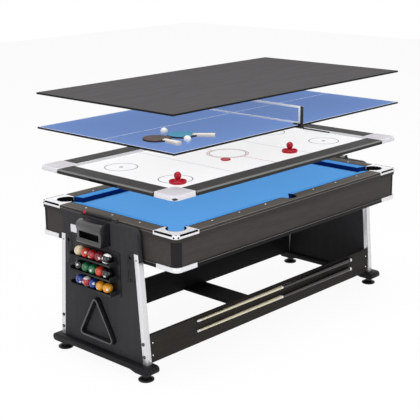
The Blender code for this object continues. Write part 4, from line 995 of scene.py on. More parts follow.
@dataclass
class Stand:
    """End panels, beams, boards, feet and what is fixed to them."""

    panel_outer: float = 1.035
    foot_half_width: float = 0.356
    neck_half_width: float = 0.310
    panel_bottom: float = 0.0863
    neck_height: float = 0.698
    channel_leg: float = 0.029
    channel_face: float = 1.0373
    bolt_heights: tuple[float, ...] = (0.132, 0.204)
    bolt_rise: float = 0.0012
    channel_screw_height: float = 0.280
    channel_plug_height: float = 0.664
    board_screw_x: float = 0.980
    board_screw_heights: tuple[float, ...] = (0.128, 0.200)
    lock_place: float = 0.252
    lock_half_width: float = 0.022
    lock_top: float = 0.702
    lock_height: float = 0.168
    lock_end_gap: float = 0.004
    lock_face: float = 1.038
    lock_rise: float = 0.0012
    lock_rim: float = 0.0012
    lock_hole_drop: float = 0.032
    lock_hole_radius: float = 0.0108
    lock_screw_heights: tuple[float, ...] = (0.540, 0.554)
    beam_centre: float = 1.029
    foot_offset: float = 0.339
    stretcher_face: float = 0.345
    plate_place: Point2 = (0.207, 0.742)
    plate_half: Point2 = (0.025, 0.022)
    plate_round: float = 0.003
    plate_rise: float = 0.0016

    def half_width(self, height: float, inset: float = 0.0) -> float:
        """Half width of the slanted part of a panel at a height."""
        share = (height - self.panel_bottom) / (self.neck_height - self.panel_bottom)
        return self.foot_half_width + share * (self.neck_half_width - self.foot_half_width) - inset

    def build(self) -> None:
        """Dress the carried nodes and add feet, fasteners, locks and the bare plate."""
        for end in End:
            dress_node(f"end_panel_{end.name}", BLACK_BOARD, 0.0012)
            dress_node(f"foot_beam_{end.name}", BEAM_BLACK, 0.0)
            dress_node(f"goal_box_{end.name}", GLOSS_BLACK, 0.0015)
            for side in Side:
                dress_node(f"edge_channel_{end.name}_{side.name}", SATIN_METAL, 0.0005)
                self.build_foot(end, side)
        dress_node("stretcher_front", FRONT_STRETCHER, 0.0008)
        dress_node("stretcher_back", STRETCHER_BOARD, 0.0008)
        dress_node("cross_brace", STRETCHER_BOARD, 0.001)
        dress_node("ball_rack", BLACK_PLASTIC, 0.0006)
        self.build_fasteners()
        self.build_locks()
        self.build_plate()

    def build_foot(self, end: End, side: Side) -> None:
        """Turn a levelling foot: round pad, domed top and dark stem.

        Args:
            end: The end of the table.
            side: Its long side.
        """
        name = f"levelling_foot_{end.name}_{side.name}"
        centre = (end.value * self.beam_centre, side.value * self.foot_offset, 0.0)
        pad = [(0.0, 0.0), (0.0415, 0.0), (0.0435, 0.002), (0.044, 0.005), (0.044, 0.008), (0.0425, 0.0095),
               (0.036, 0.0125), (0.029, 0.0165), (0.0225, 0.0185), (0.0195, 0.0195), (0.0188, 0.024),
               (0.0, 0.024)]
        stem = [(0.0, 0.020), (0.0175, 0.020), (0.0185, 0.022), (0.0185, 0.040), (0.0175, 0.0425),
                (0.006, 0.0425), (0.006, 0.072), (0.0, 0.072)]
        piece = Piece(f"{name}_pad", name, BLACK_PLASTIC, (name,))
        piece.add(turned(pad, Axis.Z, centre)).add(turned(stem, Axis.Z, centre, 32), DARK_METAL).build()

    def build_fasteners(self) -> None:
        """Set the bolts and screws of the channels and of the boards between the panels."""
        bolts: list[Spot] = []
        screws: list[Spot] = []
        dark: list[Spot] = []
        for end in End:
            out = (end.value, 0.0, 0.0)
            for side in Side:
                for heights, group, rise in ((self.bolt_heights, bolts, self.bolt_rise),
                                             ((self.channel_screw_height,), screws, 0.0),
                                             ((self.channel_plug_height,), dark, 0.0)):
                    for height in heights:
                        across = side.value * self.half_width(height, self.channel_leg / 2)
                        group.append(((end.value * (self.channel_face + rise), across, height), out))
                for height in self.board_screw_heights:
                    screws.append(((end.value * self.board_screw_x, side.value * self.stretcher_face, height),
                                   (0.0, side.value, 0.0)))
                for height in self.lock_screw_heights:
                    dark.append(((end.value * (self.lock_face + self.lock_rise), side.value * self.lock_place,
                                  height), out))
        Scatter.place(Piece("channel_bolts", "stand", DARK_METAL), screw_head(0.0100, 0.0045, False), bolts)
        Scatter.place(Piece("board_screws", "stand", CHROME), screw_head(0.0045, 0.0016), screws)
        Scatter.place(Piece("dark_screws", "stand", POCKET_BLACK), screw_head(0.0042, 0.0016), dark)

    def build_locks(self) -> None:
        """Line each lock hole with a ring and set a thin plate with a painted highlight round its edge."""
        face = self.lock_face
        hole_height = self.lock_top - self.lock_hole_drop
        zs = (self.lock_top - self.lock_height + self.lock_end_gap, self.lock_top - self.lock_end_gap)
        ring = [(0.0102, -0.006), (0.0128, -0.006), (0.0128, 0.0006), (0.0118, 0.0012), (0.0102, 0.0006)]
        for end in End:
            piece = Piece(f"lock_plates_{end.name}", "stand", BLACK_PLASTIC, bevel=0.0006)
            for side in Side:
                y = side.value * self.lock_place
                ys = grown((y, y), self.lock_half_width)
                hole = rod(self.lock_hole_radius, (-OVERRUN, OVERRUN), Axis.X,
                           (end.value * face, y, hole_height))
                plate = block(span_of(end.value, face - 0.001, face + self.lock_rise), ys, zs)
                piece.add(carve(plate, [hole]))
                # Painted highlight: a thin grey frame round the plate's edge.
                rim = block(span_of(end.value, face - 0.0005, face + 0.0008), grown(ys, self.lock_rim),
                            grown(zs, self.lock_rim))
                inside = block(span_of(end.value, face - OVERRUN, face + OVERRUN), ys, zs)
                piece.add(carve(rim, [inside]), HIGHLIGHT_GREY)
                piece.add(turned([(r, end.value * a) for r, a in ring], Axis.X,
                                 (end.value * (face + self.lock_rise), y, hole_height)), DARK_METAL)
            piece.build()

    def build_plate(self) -> None:
        """Set the bare bright plate beside the puck return box."""
        outline = [(y + self.plate_place[0], z + self.plate_place[1])
                   for y, z in rounded_box(*self.plate_half, self.plate_round)]
        face = -self.panel_outer
        Piece("bare_plate", "stand", PALE_PLASTIC, bevel=0.0003).add(
            prism(outline, Axis.X, (face - self.plate_rise, face + SINK))).build()


@dataclass
class Cabinet:
    """Pool cabinet: boards, cloth, rails, cushions, castings and pockets."""

    half_length: float = 0.990
    half_width: float = 0.550
    top: float = 0.835
    bottom: float = 0.638
    gap: float = 0.0003
    bed_thickness: float = 0.025
    bed_inset: float = 0.052
    rail_bottom: float = 0.797
    rail_width: float = 0.090
    rail_round: float = 0.009
    rail_lap: float = 0.0015
    sheet_start: float = 0.0085
    sheet_rise: float = 0.0003
    joint_width: float = 0.0030
    cushion_depth: float = 0.040
    nose_radius: float = 0.006
    nose_drop: float = 0.010
    undercut: float = 0.009
    mitre_share: float = 0.84
    # Below this drop from the top, a cushion's face gets painted shade.
    face_drop: float = 0.008
    corner_leg: float = 0.170
    corner_round: float = 0.030
    casting_rise: float = 0.0015
    casting_height: float = 0.021
    casting_step: float = 0.0008
    groove_width: float = 0.0095
    groove_depth: float = 0.0090
    groove_end_gap: float = 0.008
    pocket_inset: float = 0.104
    pocket_radius: float = 0.056
    pocket_clearance: float = 0.0038
    cup_bottom: float = 0.7217
    # Reach of the band of painted shade on the cloth round a corner pocket.
    lip_width: float = 0.0100
    side_inset: float = 0.080
    side_radius: float = 0.044
    side_clearance: float = 0.0058
    side_wall: float = 0.0055
    side_mouth: float = 0.130
    side_cup_bottom: float = 0.7342
    side_cup_drop: float = 0.0285
    sight_pitch: float = 0.218
    sight_inset: float = 0.066
    end_sight_pitch: float = 0.219
    end_sight_inset: float = 0.060
    strip_height: float = 0.023
    strip_reach: Point2 = (0.84, 0.40)
    cap_reach: float = 0.15
    cap_round: float = 0.0315
    cap_rise: float = 0.0022
    cut_heights: Span = (0.6, 0.9)
    cut_reach: float = 0.25

    def build(self) -> None:
        """Dress the boards and the bed, and build rails, pockets, sights and trim."""
        dress_node("bottom_board", CABINET_BOARD, 0.0)
        self.build_bed()
        for end in End:
            dress_node(f"end_apron_{end.name}", CABINET_BOARD, 0.0006)
            self.build_end_rail(end)
            for side in Side:
                self.build_corner(end, side)
        for side in Side:
            dress_node(f"side_apron_{side.name}", CABINET_BOARD, 0.0006)
            self.build_side_rail(side)
        self.build_sights()
        self.build_trim()

    def build_bed(self) -> None:
        """Lay the cloth-covered bed with its six round pocket holes."""
        high = self.rail_bottom - self.gap
        corner_x, corner_y = self.half_length - self.pocket_inset, self.half_width - self.pocket_inset
        holes = [(end.value * corner_x, side.value * corner_y, self.pocket_radius + self.pocket_clearance)
                 for end in End for side in Side]
        holes += [(0.0, side.value * (self.half_width - self.side_inset),
                   self.side_radius + self.side_clearance) for side in Side]
        tools = [rod(radius, self.cut_heights, Axis.Z, (x, y, 0.0), 64) for x, y, radius in holes]
        reach_x, reach_y = self.half_length - self.bed_inset, self.half_width - self.bed_inset
        board = block((-reach_x, reach_x), (-reach_y, reach_y), (high - self.bed_thickness, high))
        Piece("pool_bed", "cabinet", POOL_CLOTH, ("playing_bed",)).add(carve(board, tools)).build()

    def rail_sections(self) -> list[tuple[list[Point2], Finish]]:
        """Sections of a rail as depths and heights: board, top sheet, dark joint, a painted highlight on the
        round outer edge and a light line on the side.
        """
        top, inner, radius = self.top, self.rail_width - self.rail_lap, self.rail_round
        seam = inner - self.joint_width
        board = [(0.0, self.rail_bottom)] + arc((radius, top - radius), radius, math.pi, math.pi / 2)
        board += [(inner, top), (inner, self.rail_bottom)]
        sheet = oblong((self.sheet_start, seam), (top - self.sheet_rise, top + self.sheet_rise))
        joint = oblong((seam, inner + 0.0009), (top - self.sheet_rise, top + 0.0004))
        # Painted highlight: a pale band on the crest of the round outer edge.
        edge = [(0.0060, top - 0.0012), (0.0060, top + 0.0004), (self.sheet_start, top + 0.0005),
                (self.sheet_start, top - 0.0012)]
        line = oblong((0.0010, -0.0004), (top - 0.0135, top - 0.0118))
        return [(board, RAIL_SIDE), (sheet, RAIL_BOARD), (joint, POCKET_BLACK), (edge, LINE_AND_EDGE_HIGHLIGHT),
                (line, LINE_AND_EDGE_HIGHLIGHT)]

    def cushion_section(self) -> list[Point2]:
        """Section of a cushion, from the rail to its round nose."""
        start, nose = self.rail_width - 0.0012, self.rail_width + self.cushion_depth
        low = self.rail_bottom + self.gap
        return ([(start, low), (start, self.top - 0.0006), (start + 0.004, self.top - 0.0002)]
                + arc((nose - self.nose_radius, self.top - self.nose_drop), self.nose_radius, math.pi / 2,
                      -math.pi / 4, 6) + [(nose - self.undercut, low)])

    def cushion(self, half_run: float, place: Callable[[float, float, float], Point3]) -> bmesh.types.BMesh:
        """Sweep the cushion's section between mitred ends.

        Args:
            half_run: Half length at the rail.
            place: Turns a run, a depth and a height into a point.

        Returns:
            The closed cushion.
        """
        return loft([[place(way * (half_run - max(0.0, d - self.rail_width) * self.mitre_share), d, z)
                      for d, z in self.cushion_section()] for way in (-1, 1)])

    def build_cushion(self, name: str, shape: bmesh.types.BMesh) -> None:
        """Make a cushion a piece, pale on top, with painted shade on its face below the nose.

        Args:
            name: Name of the piece.
            shape: Its closed mesh.
        """
        item = Piece(name, "cabinet", CUSHION_CLOTH, smooth_degrees=50).add(shape).build()
        item.data.materials.append(SHADE_PAINTED_CLOTH.material())
        # Faces that look sideways or down below the nose get the painted shade.
        for face in item.data.polygons:
            if face.normal.z < 0.35 and face.center.z < self.top - self.face_drop:
                face.material_index = 1

    def build_end_rail(self, end: End) -> None:
        """Build a short rail: laminated board and cushion."""
        run = self.half_width - self.corner_leg - self.gap
        node = f"end_rail_{end.name}"
        board = Piece(f"{node}_board", "cabinet", RAIL_SIDE, (node,), bevel=0.0003)
        for section, finish in self.rail_sections():
            outline = [(end.value * (self.half_length - d), z) for d, z in section]
            board.add(prism(outline, Axis.Y, (-run, run)), finish)
        board.build()
        cushion = self.cushion(run, lambda along, d, z: (end.value * (self.half_length - d), along, z))
        self.build_cushion(f"{node}_cushion", cushion)

    def build_side_rail(self, side: Side) -> None:
        """Build a long rail round its side pocket, with cushions either side of the mouth."""
        run = self.half_length - self.corner_leg - self.gap
        node = f"side_rail_{side.name}"
        centre = side.value * (self.half_width - self.side_inset)
        well = self.side_radius + 0.006
        board = Piece(f"{node}_board", "cabinet", RAIL_SIDE, (node,), bevel=0.0003)
        for section, finish in self.rail_sections():
            outline = [(side.value * (self.half_width - d), z) for d, z in section]
            hole = rod(well, self.cut_heights, Axis.Z, (0.0, centre, 0.0), 64)
            mouth = block((-well, well), span_of(side.value, abs(centre) - 0.06, abs(centre)),
                          self.cut_heights)
            board.add(carve(prism(outline, Axis.X, (-run, run)), [hole, mouth]), finish)
        board.build()
        rail_y = side.value * (self.half_width - self.rail_width + OVERRUN)
        nose_y = side.value * (self.half_width - self.rail_width - self.cushion_depth - OVERRUN)
        half = self.side_mouth / 2
        flare = [(-well, rail_y), (well, rail_y), (half, nose_y), (-half, nose_y)]
        whole = self.cushion(run, lambda along, d, z: (along, side.value * (self.half_width - d), z))
        self.build_cushion(f"{node}_cushion", carve(whole, [prism(flare, Axis.Z, self.cut_heights)]))
        self.build_side_pocket(side, centre)

    def build_side_pocket(self, side: Side, centre: float) -> None:
        """Build a side pocket: dark cup and a moulded collar open to the field.

        Args:
            side: The long side.
            centre: Place of the pocket's axis along Y.
        """
        inner, outer = self.side_radius, self.side_radius + self.side_wall
        low, brim, high = self.side_cup_bottom, self.rail_bottom - self.side_cup_drop, self.top
        cup = [(0.0, low), (outer - 0.004, low), (outer - 0.001, low + 0.004), (outer - 0.001, brim),
               (inner - 0.0005, brim), (inner - 0.0005, low + 0.004), (0.0, low + 0.004)]
        collar = [(inner, brim - 0.0015), (outer, brim - 0.0015), (outer, high - 0.002),
                  (outer - 0.001, high + 0.0004), (inner + 0.0012, high + 0.0004), (inner, high - 0.0012)]
        half = inner + OVERRUN
        mouth = block((-half, half), span_of(side.value, self.half_width - 0.2, abs(centre) - 0.004),
                      (self.rail_bottom - self.gap, self.cut_heights[1]))
        piece = Piece(f"side_pocket_{side.name}", "cabinet", POCKET_BLACK)
        piece.add(turned(cup, Axis.Z, (0.0, centre, 0.0), 64))
        piece.add(carve(turned(collar, Axis.Z, (0.0, centre, 0.0), 96), [mouth])).build()

    def build_corner(self, end: End, side: Side) -> None:
        """Build a corner: bright L-shaped casting whose grooves are filled with painted shade, its screws and
        the pocket under it.

        Args:
            end: The end of the table.
            side: Its long side.
        """
        place = corner_places(self.half_length, self.half_width, end, side)
        node = f"corner_pocket_{end.name}_{side.name}"
        leg, width, radius, step = self.corner_leg, self.rail_width, self.corner_round, self.casting_step
        top = self.top + self.casting_rise
        low = top - self.casting_height
        centre = (*place(self.pocket_inset, self.pocket_inset), 0.0)

        def l_shape(rim: float, zs: Span) -> bmesh.types.BMesh:
            """Extrude the casting's outline, drawn in by a rim, with the pocket's bore cut out."""
            points = [(leg, rim), (leg, width), (width + 0.016, width), (width, width + 0.016),
                      (width, leg), (rim, leg)]
            points += arc((radius, radius), radius - rim, math.pi, 1.5 * math.pi, 12)
            bore = rod(self.pocket_radius, self.cut_heights, Axis.Z, centre, 96)
            return carve(prism([place(u, v) for u, v in points], Axis.Z, zs),
                         [bore, *cuts] if rim == 0.0 else [bore])

        # The black fills in the grooves are painted shade of the recesses.
        cuts, groove_shades = [], []
        for flip in (False, True):
            for group, slack, outer, zs in ((cuts, 0.0, -OVERRUN, (top - self.groove_depth, top + OVERRUN)),
                                            (groove_shades, 0.0001, step,
                                             (top - self.groove_depth + 0.0001, top - step))):
                ends = oblong((radius + 2 * slack, leg - self.groove_end_gap - 2 * slack),
                              (outer, self.groove_width - slack))
                group.append(prism([place(*(q[::-1] if flip else q)) for q in ends], Axis.Z, zs))
        casting = Piece(f"{node}_casting", "cabinet", CASTING_METAL, (node,), bevel=0.0008)
        casting.add(l_shape(0.0, (low, top)))
        for filler in groove_shades:
            casting.add(filler, POCKET_BLACK)
        casting.add(l_shape(step, (self.rail_bottom, low - 0.0002)), RAIL_SIDE).build()
        self.build_cup(node, place, centre, top)
        spots = [((*place(0.013, 0.013), top), (0.0, 0.0, 1.0))]
        for angle in (-0.42, 0.42):
            across = Vector((-end.value, -side.value)).normalized()
            across.rotate(Matrix.Rotation(angle, 2))
            spot = Vector(place(radius, radius)) - across * (radius + SINK)
            spots.append(((spot.x, spot.y, top - 0.0125), (-across.x, -across.y, 0.0)))
        Scatter.place(Piece(f"{node}_screws", "cabinet", POCKET_BLACK), screw_head(0.0052, 0.0014), spots)

    def build_cup(self, node: str, place: CornerPlace, centre: Point3, top: float) -> None:
        """Build a corner pocket's dark cup, the liner of its casting and a dark lip in the bed's hole, whose
        band on the cloth is painted shade.

        Args:
            node: The pocket's node.
            place: Turns distances from the two outer faces into a point.
            centre: Foot of the pocket's axis.
            top: Top of the casting.
        """
        low, bottom, bed = self.cup_bottom, self.rail_bottom, self.rail_bottom - self.gap
        radius, clear = self.pocket_radius, self.rail_width + 0.002
        inner, outer = radius - 0.002, radius + 0.0035
        cup = [(0.0, low), (outer - 0.006, low), (outer, low + 0.006), (outer, bottom - 0.001),
               (inner, bottom - 0.001), (inner, low + 0.006), (inner - 0.004, low + 0.004),
               (0.0, low + 0.004)]
        liner = [(inner, bottom - 0.002), (radius - SINK, bottom - 0.002), (radius - SINK, top + SINK),
                 (inner + 0.0006, top + SINK), (inner, top - 0.0008)]
        # The part of the lip that lies on the cloth is painted shade at the hole's edge.
        lip = [(inner, bed - 0.002), (radius + 0.0036, bed - 0.002), (radius + 0.0036, bed + 0.0001),
               (radius + self.lip_width, bed + 0.0001), (radius + self.lip_width - 0.0005, bed + 0.0008),
               (inner, bed + 0.0008)]
        far = self.cut_reach
        mouth = block_between(place(self.rail_width + 0.008, self.rail_width + 0.008), place(far, far),
                              (bottom - 0.0004, self.cut_heights[1]))
        rails = [block_between(place(0.0, 0.0), place(*reach), grown((bed, bed), OVERRUN))
                 for reach in ((clear, far), (far, clear))]
        piece = Piece(f"{node}_cup", "cabinet", POCKET_BLACK)
        piece.add(turned(cup, Axis.Z, centre, 64)).add(carve(turned(liner, Axis.Z, centre, 96), [mouth]))
        piece.add(carve(turned(lip, Axis.Z, centre, 96), rails)).build()

    def build_sights(self) -> None:
        """Inlay the round sights of the rails."""
        across, along = self.half_width - self.sight_inset, self.half_length - self.end_sight_inset
        places = [(way * self.sight_pitch * i, side.value * across)
                  for side in Side for i in (1, 2, 3) for way in (-1, 1)]
        places += [(end.value * along, self.end_sight_pitch * i) for end in End for i in (-1, 0, 1)]
        profile = [(0.0, -0.0006), (0.0055, -0.0006), (0.0055, 0.0002), (0.005, 0.0004), (0.0, 0.0005)]
        Scatter.place(Piece("rail_sights", "cabinet", LINE_PAINT),
                      turned(profile, Axis.Z, ORIGIN, 24),
                      [((x, y, self.top), (0.0, 0.0, 1.0)) for x, y in places])

    def build_trim(self) -> None:
        """Run a dark strip with a light line along the bottom board and cap its corners in white metal."""
        low, high = self.bottom + 0.0005, self.bottom + self.strip_height
        (run_x, run_y), face_x, face_y = self.strip_reach, self.half_length, self.half_width
        for name, finish, bevel, inset, rise, zs in (
                ("bottom_strips", EDGE_BAND, 0.0006, 0.0045, 0.0012, (low, high)),
                ("bottom_lines", LINE_AND_EDGE_HIGHLIGHT, 0.0, 0.001, 0.0016, (high - 0.0022, high - 0.0004))):
            piece = Piece(name, "cabinet", finish, bevel=bevel)
            for side in Side:
                piece.add(block((-run_x, run_x), span_of(side.value, face_y - inset, face_y + rise), zs))
            for end in End:
                piece.add(block(span_of(end.value, face_x - inset, face_x + rise), (-run_y, run_y), zs))
            piece.build()
        radius, reach, rise = self.cap_round, self.cap_reach, self.cap_rise
        outer = [(reach, -rise), *arc((radius, radius), radius + rise, 1.5 * math.pi, math.pi, 12),
                 (-rise, reach)]
        inner = [(0.0045, reach), (0.0045, 0.035), (0.035, 0.0045), (reach, 0.0045)]
        for end in End:
            for side in Side:
                place = corner_places(face_x, face_y, end, side)
                cap = Piece(f"bottom_cap_{end.name}_{side.name}", "cabinet", CASTING_METAL, bevel=0.001)
                cap.add(prism([place(u, v) for u, v in outer + inner], Axis.Z,
                              (self.bottom - 0.0012, self.bottom + 0.0245))).build()


@dataclass
class AirHockeyDeck:
    """Air hockey deck: white field, ribbed rails, corner caps, goals, mallets and puck."""

    half_length: float = 0.989
    half_width: float = 0.547
    top: float = 1.040
    bottom: float = 1.004
    gap: float = 0.0003
    rail_width: float = 0.122
    rim_bottom: float = 1.0165
    overhang: float = 0.050
    rebate: float = 0.014
    bevel_width: float = 0.012
    bevel_drop: float = 0.006
    rib_count: int = 13
    rib_rise: float = 0.0009
    rib_share: float = 0.55
    goal_half_width: float = 0.112
    goal_below: float = 0.0047
    goal_above: float = 0.012
    goal_plate: Span = (0.0015, 0.0075)
    cap_leg: float = 0.160
    cap_round: float = 0.040
    cap_cut: float = 0.010
    corner_radius: float = 0.095
    cut_reach: float = 0.25
    plug_radii: Point2 = (0.0404, 0.0380)
    plug_half: Point2 = (0.0155, 0.0062)
    plug_height: float = 1.0245
    field_top: float = 1.020
    line_rise: float = 0.0002
    zone_line: float = 0.33
    face_off: Point2 = (0.66, 0.22)
    mallet_places: tuple[Point2, Point2] = ((-0.714, -0.292), (0.267, -0.263))
    puck_place: Point2 = (-0.142, -0.114)

    def build(self) -> None:
        """Dress the field and build rails, caps, lines and the pieces in play."""
        dress_node("deck_field", FIELD_WHITE, 0.0)
        for end in End:
            self.build_rail(f"deck_end_rail_{end.name}", end.value, self.half_length,
                            self.half_width - self.cap_leg - self.gap, Axis.Y)
            for side in Side:
                self.build_cap(end, side)
        for side in Side:
            self.build_rail(f"deck_side_rail_{side.name}", side.value, self.half_width,
                            self.half_length - self.cap_leg - self.gap, Axis.X)
        self.build_lines()
        for end, place in zip(End, self.mallet_places):
            self.build_mallet(end, place)
        self.build_puck()

    def build_rail(self, node: str, sign: int, reach: float, run: float, axis: Axis) -> None:
        """Build a rail: dark body, painted highlight on its outer bevel, ribs along its top painted lighter
        as highlight, and a pale inner wall.

        Args:
            node: The carried node that it stands for.
            sign: Direction of its outer face.
            reach: Distance of its outer face from the middle.
            run: Half its length.
            axis: The axis that it runs along.
        """
        width, top, rise, shoulder = self.rail_width, self.top, self.rib_rise, self.top - self.bevel_drop
        floor, lap = self.field_top + self.gap, self.rail_width - self.rebate
        goal = (self.field_top - self.goal_below, self.field_top + self.goal_above)

        def swept(section: Sequence[Point2], cut: bool = True) -> bmesh.types.BMesh:
            """Run a section of depths and heights along the rail, with the goal cut out of a short one."""
            shape = prism([(sign * (reach - d), z) for d, z in section], axis, (-run, run))
            if axis is Axis.X or not cut:
                return shape
            xs = span_of(sign, reach - width - OVERRUN, reach + OVERRUN)
            return carve(shape, [block(xs, (-self.goal_half_width, self.goal_half_width), goal)])

        piece = Piece(f"{node}_body", "air_hockey_deck", DECK_PLASTIC, (node,))
        piece.add(swept([(self.overhang, self.bottom), (self.overhang, self.rim_bottom),
                         (0.0, self.rim_bottom), (0.0, shoulder - 0.001), (0.001, shoulder),
                         (self.bevel_width, top - rise), (width - 0.004, top - rise),
                         (width - 0.0012, top - 0.003), (width - 0.0012, floor), (lap, floor),
                         (lap, self.bottom)]))
        # Painted highlight along the outer bevel.
        stripe = [(0.0, shoulder - 0.0006), (self.bevel_width, top - rise - 0.0002),
                  (self.bevel_width, top - 0.0001), (-0.0002, shoulder + 0.0002)]
        piece.add(swept(stripe, False), BEVEL_HIGHLIGHT)
        piece.add(swept([(width - 0.0013, self.field_top + 0.0005), (width, self.field_top + 0.0005),
                         (width, top - 0.003), (width - 0.0013, top - 0.0022)]), PALE_PLASTIC)
        # A black plate inside the goal opening: painted shade of the opening's inside.
        if axis is Axis.Y:
            near, deep = self.goal_plate
            half = self.goal_half_width - 0.001
            plate = block(span_of(sign, reach - deep, reach - near), (-half, half), grown(goal, -SINK))
            piece.add(plate, POCKET_BLACK)
        piece.build()
        # The ribs are painted lighter than the rail body, as highlight on the ridges.
        pitch = (width - 0.006 - self.bevel_width) / self.rib_count
        RibRow.make(Piece(f"{node}_ribs", "air_hockey_deck", HIGHLIGHT_GREY), {
            "Count": self.rib_count,
            "Start": on_axis(axis, 0.0, sign * (reach - self.bevel_width - pitch / 2), top - rise / 2),
            "Step": on_axis(axis, 0.0, -sign * pitch, 0.0),
            "Rib Size": on_axis(axis, 2 * run, pitch * self.rib_share, rise)})

    def build_cap(self, end: End, side: Side) -> None:
        """Build a corner cap: silver-grey with a stepped rim, a round inner corner and a painted highlight
        round its darker top.

        Args:
            end: The end of the table.
            side: Its long side.
        """
        place = corner_places(self.half_length, self.half_width, end, side)
        width, step, radius = self.rail_width, self.rail_width - self.rebate, self.cap_round

        def slab(inset: float, leg: float, zs: Span, rebated: bool = False) -> bmesh.types.BMesh:
            """Extrude the cap's outline, drawn in at its rim, with room for the field where it is rebated."""
            middle = width + self.corner_radius
            inner = [p for p in arc((middle, middle), self.corner_radius, 1.5 * math.pi, math.pi, 16)
                     if p[0] < leg and p[1] < leg]
            cut = self.cap_cut if inset < radius else 0.0
            points = [(leg - cut, inset), (leg, inset + cut), (leg, width)] + inner + [(width, leg)]
            points += [(inset + cut, leg), (inset, leg - cut)]
            if inset < radius:
                points += arc((radius, radius), radius - inset, math.pi, 1.5 * math.pi, 12)
            else:
                points = [p for i, p in enumerate(points) if p != points[i - 1]] + [(inset, inset)]
            shape = prism([place(u, v) for u, v in points], Axis.Z, zs)
            if not rebated:
                return shape
            return carve(shape, [block_between(place(step, step), place(self.cut_reach, self.cut_reach),
                                               (self.bottom - OVERRUN, self.field_top + self.gap))])

        node = f"deck_cap_{end.name}_{side.name}"
        piece = Piece(f"{node}_moulding", "air_hockey_deck", CAP_GREY_AND_HIGHLIGHT, (node,), bevel=0.0032,
                      bevel_steps=3)
        piece.add(slab(self.overhang, self.cap_leg, (self.bottom, self.rim_bottom + 0.0002), True),
                  DECK_PLASTIC)
        piece.add(slab(0.0, self.cap_leg, (self.rim_bottom, self.top - 0.007), True))
        piece.add(slab(0.0015, self.cap_leg, (self.top - 0.0075, self.top + 0.0015)))
        # The darker top inside a lighter band: that band is a painted highlight along the rounded rim.
        piece.add(slab(0.0105, self.cap_leg - 0.008, (self.top + 0.0006, self.top + 0.0019)), CAP_TOP)
        piece.build()
        self.build_plug(node, place(radius, radius), math.atan2(side.value, end.value))

    def build_plug(self, node: str, centre: Point2, facing: float) -> None:
        """Set a dark oval plug in the rounded corner of a cap.

        Args:
            node: The cap's node.
            centre: Middle of the corner's round.
            facing: Direction of the corner, as an angle about the vertical.
        """
        half_wide, half_high = self.plug_half
        rings, steps = 5, 32

        def spot(radius: float, share: float, turn: float) -> Point3:
            """Point of the oval on a round of a radius, at a share of the way from its middle."""
            angle = facing + share * half_wide * math.cos(turn) / self.cap_round
            return (centre[0] + radius * math.cos(angle), centre[1] + radius * math.sin(angle),
                    self.plug_height + share * half_high * math.sin(turn))

        shape = bmesh.new()
        layers = []
        for radius in self.plug_radii:
            layer = [[shape.verts.new(spot(radius, ring / rings, math.tau * i / steps)) for i in range(steps)]
                     for ring in range(1, rings + 1)]
            middle = shape.verts.new(spot(radius, 0.0, 0.0))
            for i in range(steps):
                shape.faces.new((middle, layer[0][i], layer[0][(i + 1) % steps]))
            layers.append(layer)
        pairs = [pair for layer in layers for pair in zip(layer, layer[1:])]
        pairs.append((layers[0][-1], layers[1][-1]))
        for first, second in pairs:
            for i in range(steps):
                j = (i + 1) % steps
                shape.faces.new((first[i], first[j], second[j], second[i]))
        bmesh.ops.recalc_face_normals(shape, faces=shape.faces[:])
        Piece(f"{node}_plug", "air_hockey_deck", DARK_METAL).add(shape).build()

    def build_lines(self) -> None:
        """Print the field: centre rings, face-off rings, zone lines and a centre line."""
        zs = (self.field_top, self.field_top + self.line_rise)
        edge = self.half_width - self.rail_width - 0.001
        grey = Piece("field_lines_grey", "air_hockey_deck", GREY_PRINT)
        rings = Piece("field_rings", "air_hockey_deck", RING_PRINT)
        for way in (-1, 1):
            middle = way * self.zone_line
            grey.add(block(grown((middle, middle), 0.003), (-edge, edge), zs))
            for across in (-1, 1):
                spot = (way * self.face_off[0], across * self.face_off[1])
                rings.add(ring_band(spot, 0.094, 0.0055, zs)).add(ring_band(spot, 0.007, 0.010, zs, 24))
        grey.build()
        rings.build()
        red = Piece("field_lines_red", "air_hockey_deck", RED_PRINT)
        for sign in (-1, 1):
            red.add(block((-0.002, 0.002), span_of(sign, 0.130, edge), zs))
        red.add(ring_band((0.0, 0.0), 0.125, 0.0045, zs)).build()
        dark = Piece("field_ring_dark", "air_hockey_deck", DARK_PRINT)
        dark.add(ring_band((0.0, 0.0), 0.112, 0.0045, zs)).build()

    def build_mallet(self, end: End, place: Point2) -> None:
        """Turn a mallet: round rim, dished base, waisted stem and domed knob."""
        profile = [(0.0, 0.0), (0.0465, 0.0), (0.048, 0.0015), (0.048, 0.0125), (0.0465, 0.0148),
                   (0.0445, 0.015), (0.0425, 0.0138), (0.040, 0.0105), (0.030, 0.0082), (0.019, 0.0085),
                   (0.0145, 0.0115), (0.0128, 0.018), (0.0135, 0.025), (0.0175, 0.0295), (0.0200, 0.034)]
        profile += arc((0.0, 0.0415), 0.0205, 0.0, math.pi / 2, 10)[:-1] + [(0.0, 0.062)]
        name = f"mallet_{end.name}"
        Piece(f"{name}_moulding", name, RED_PLASTIC, (name,), smooth_degrees=60).add(
            turned(profile, Axis.Z, (*place, self.field_top + self.gap), 64)).build()

    def build_puck(self) -> None:
        """Turn the puck: flat disc with a sunk middle and round edges."""
        profile = [(0.0, 0.0), (0.0285, 0.0), (0.030, 0.0015), (0.030, 0.0065), (0.0285, 0.008),
                   (0.0215, 0.008), (0.0205, 0.0072), (0.0, 0.0072)]
        Piece("puck_disc", "puck", RED_PLASTIC, ("puck",)).add(
            turned(profile, Axis.Z, (*self.puck_place, self.field_top + self.gap), 64)).build()


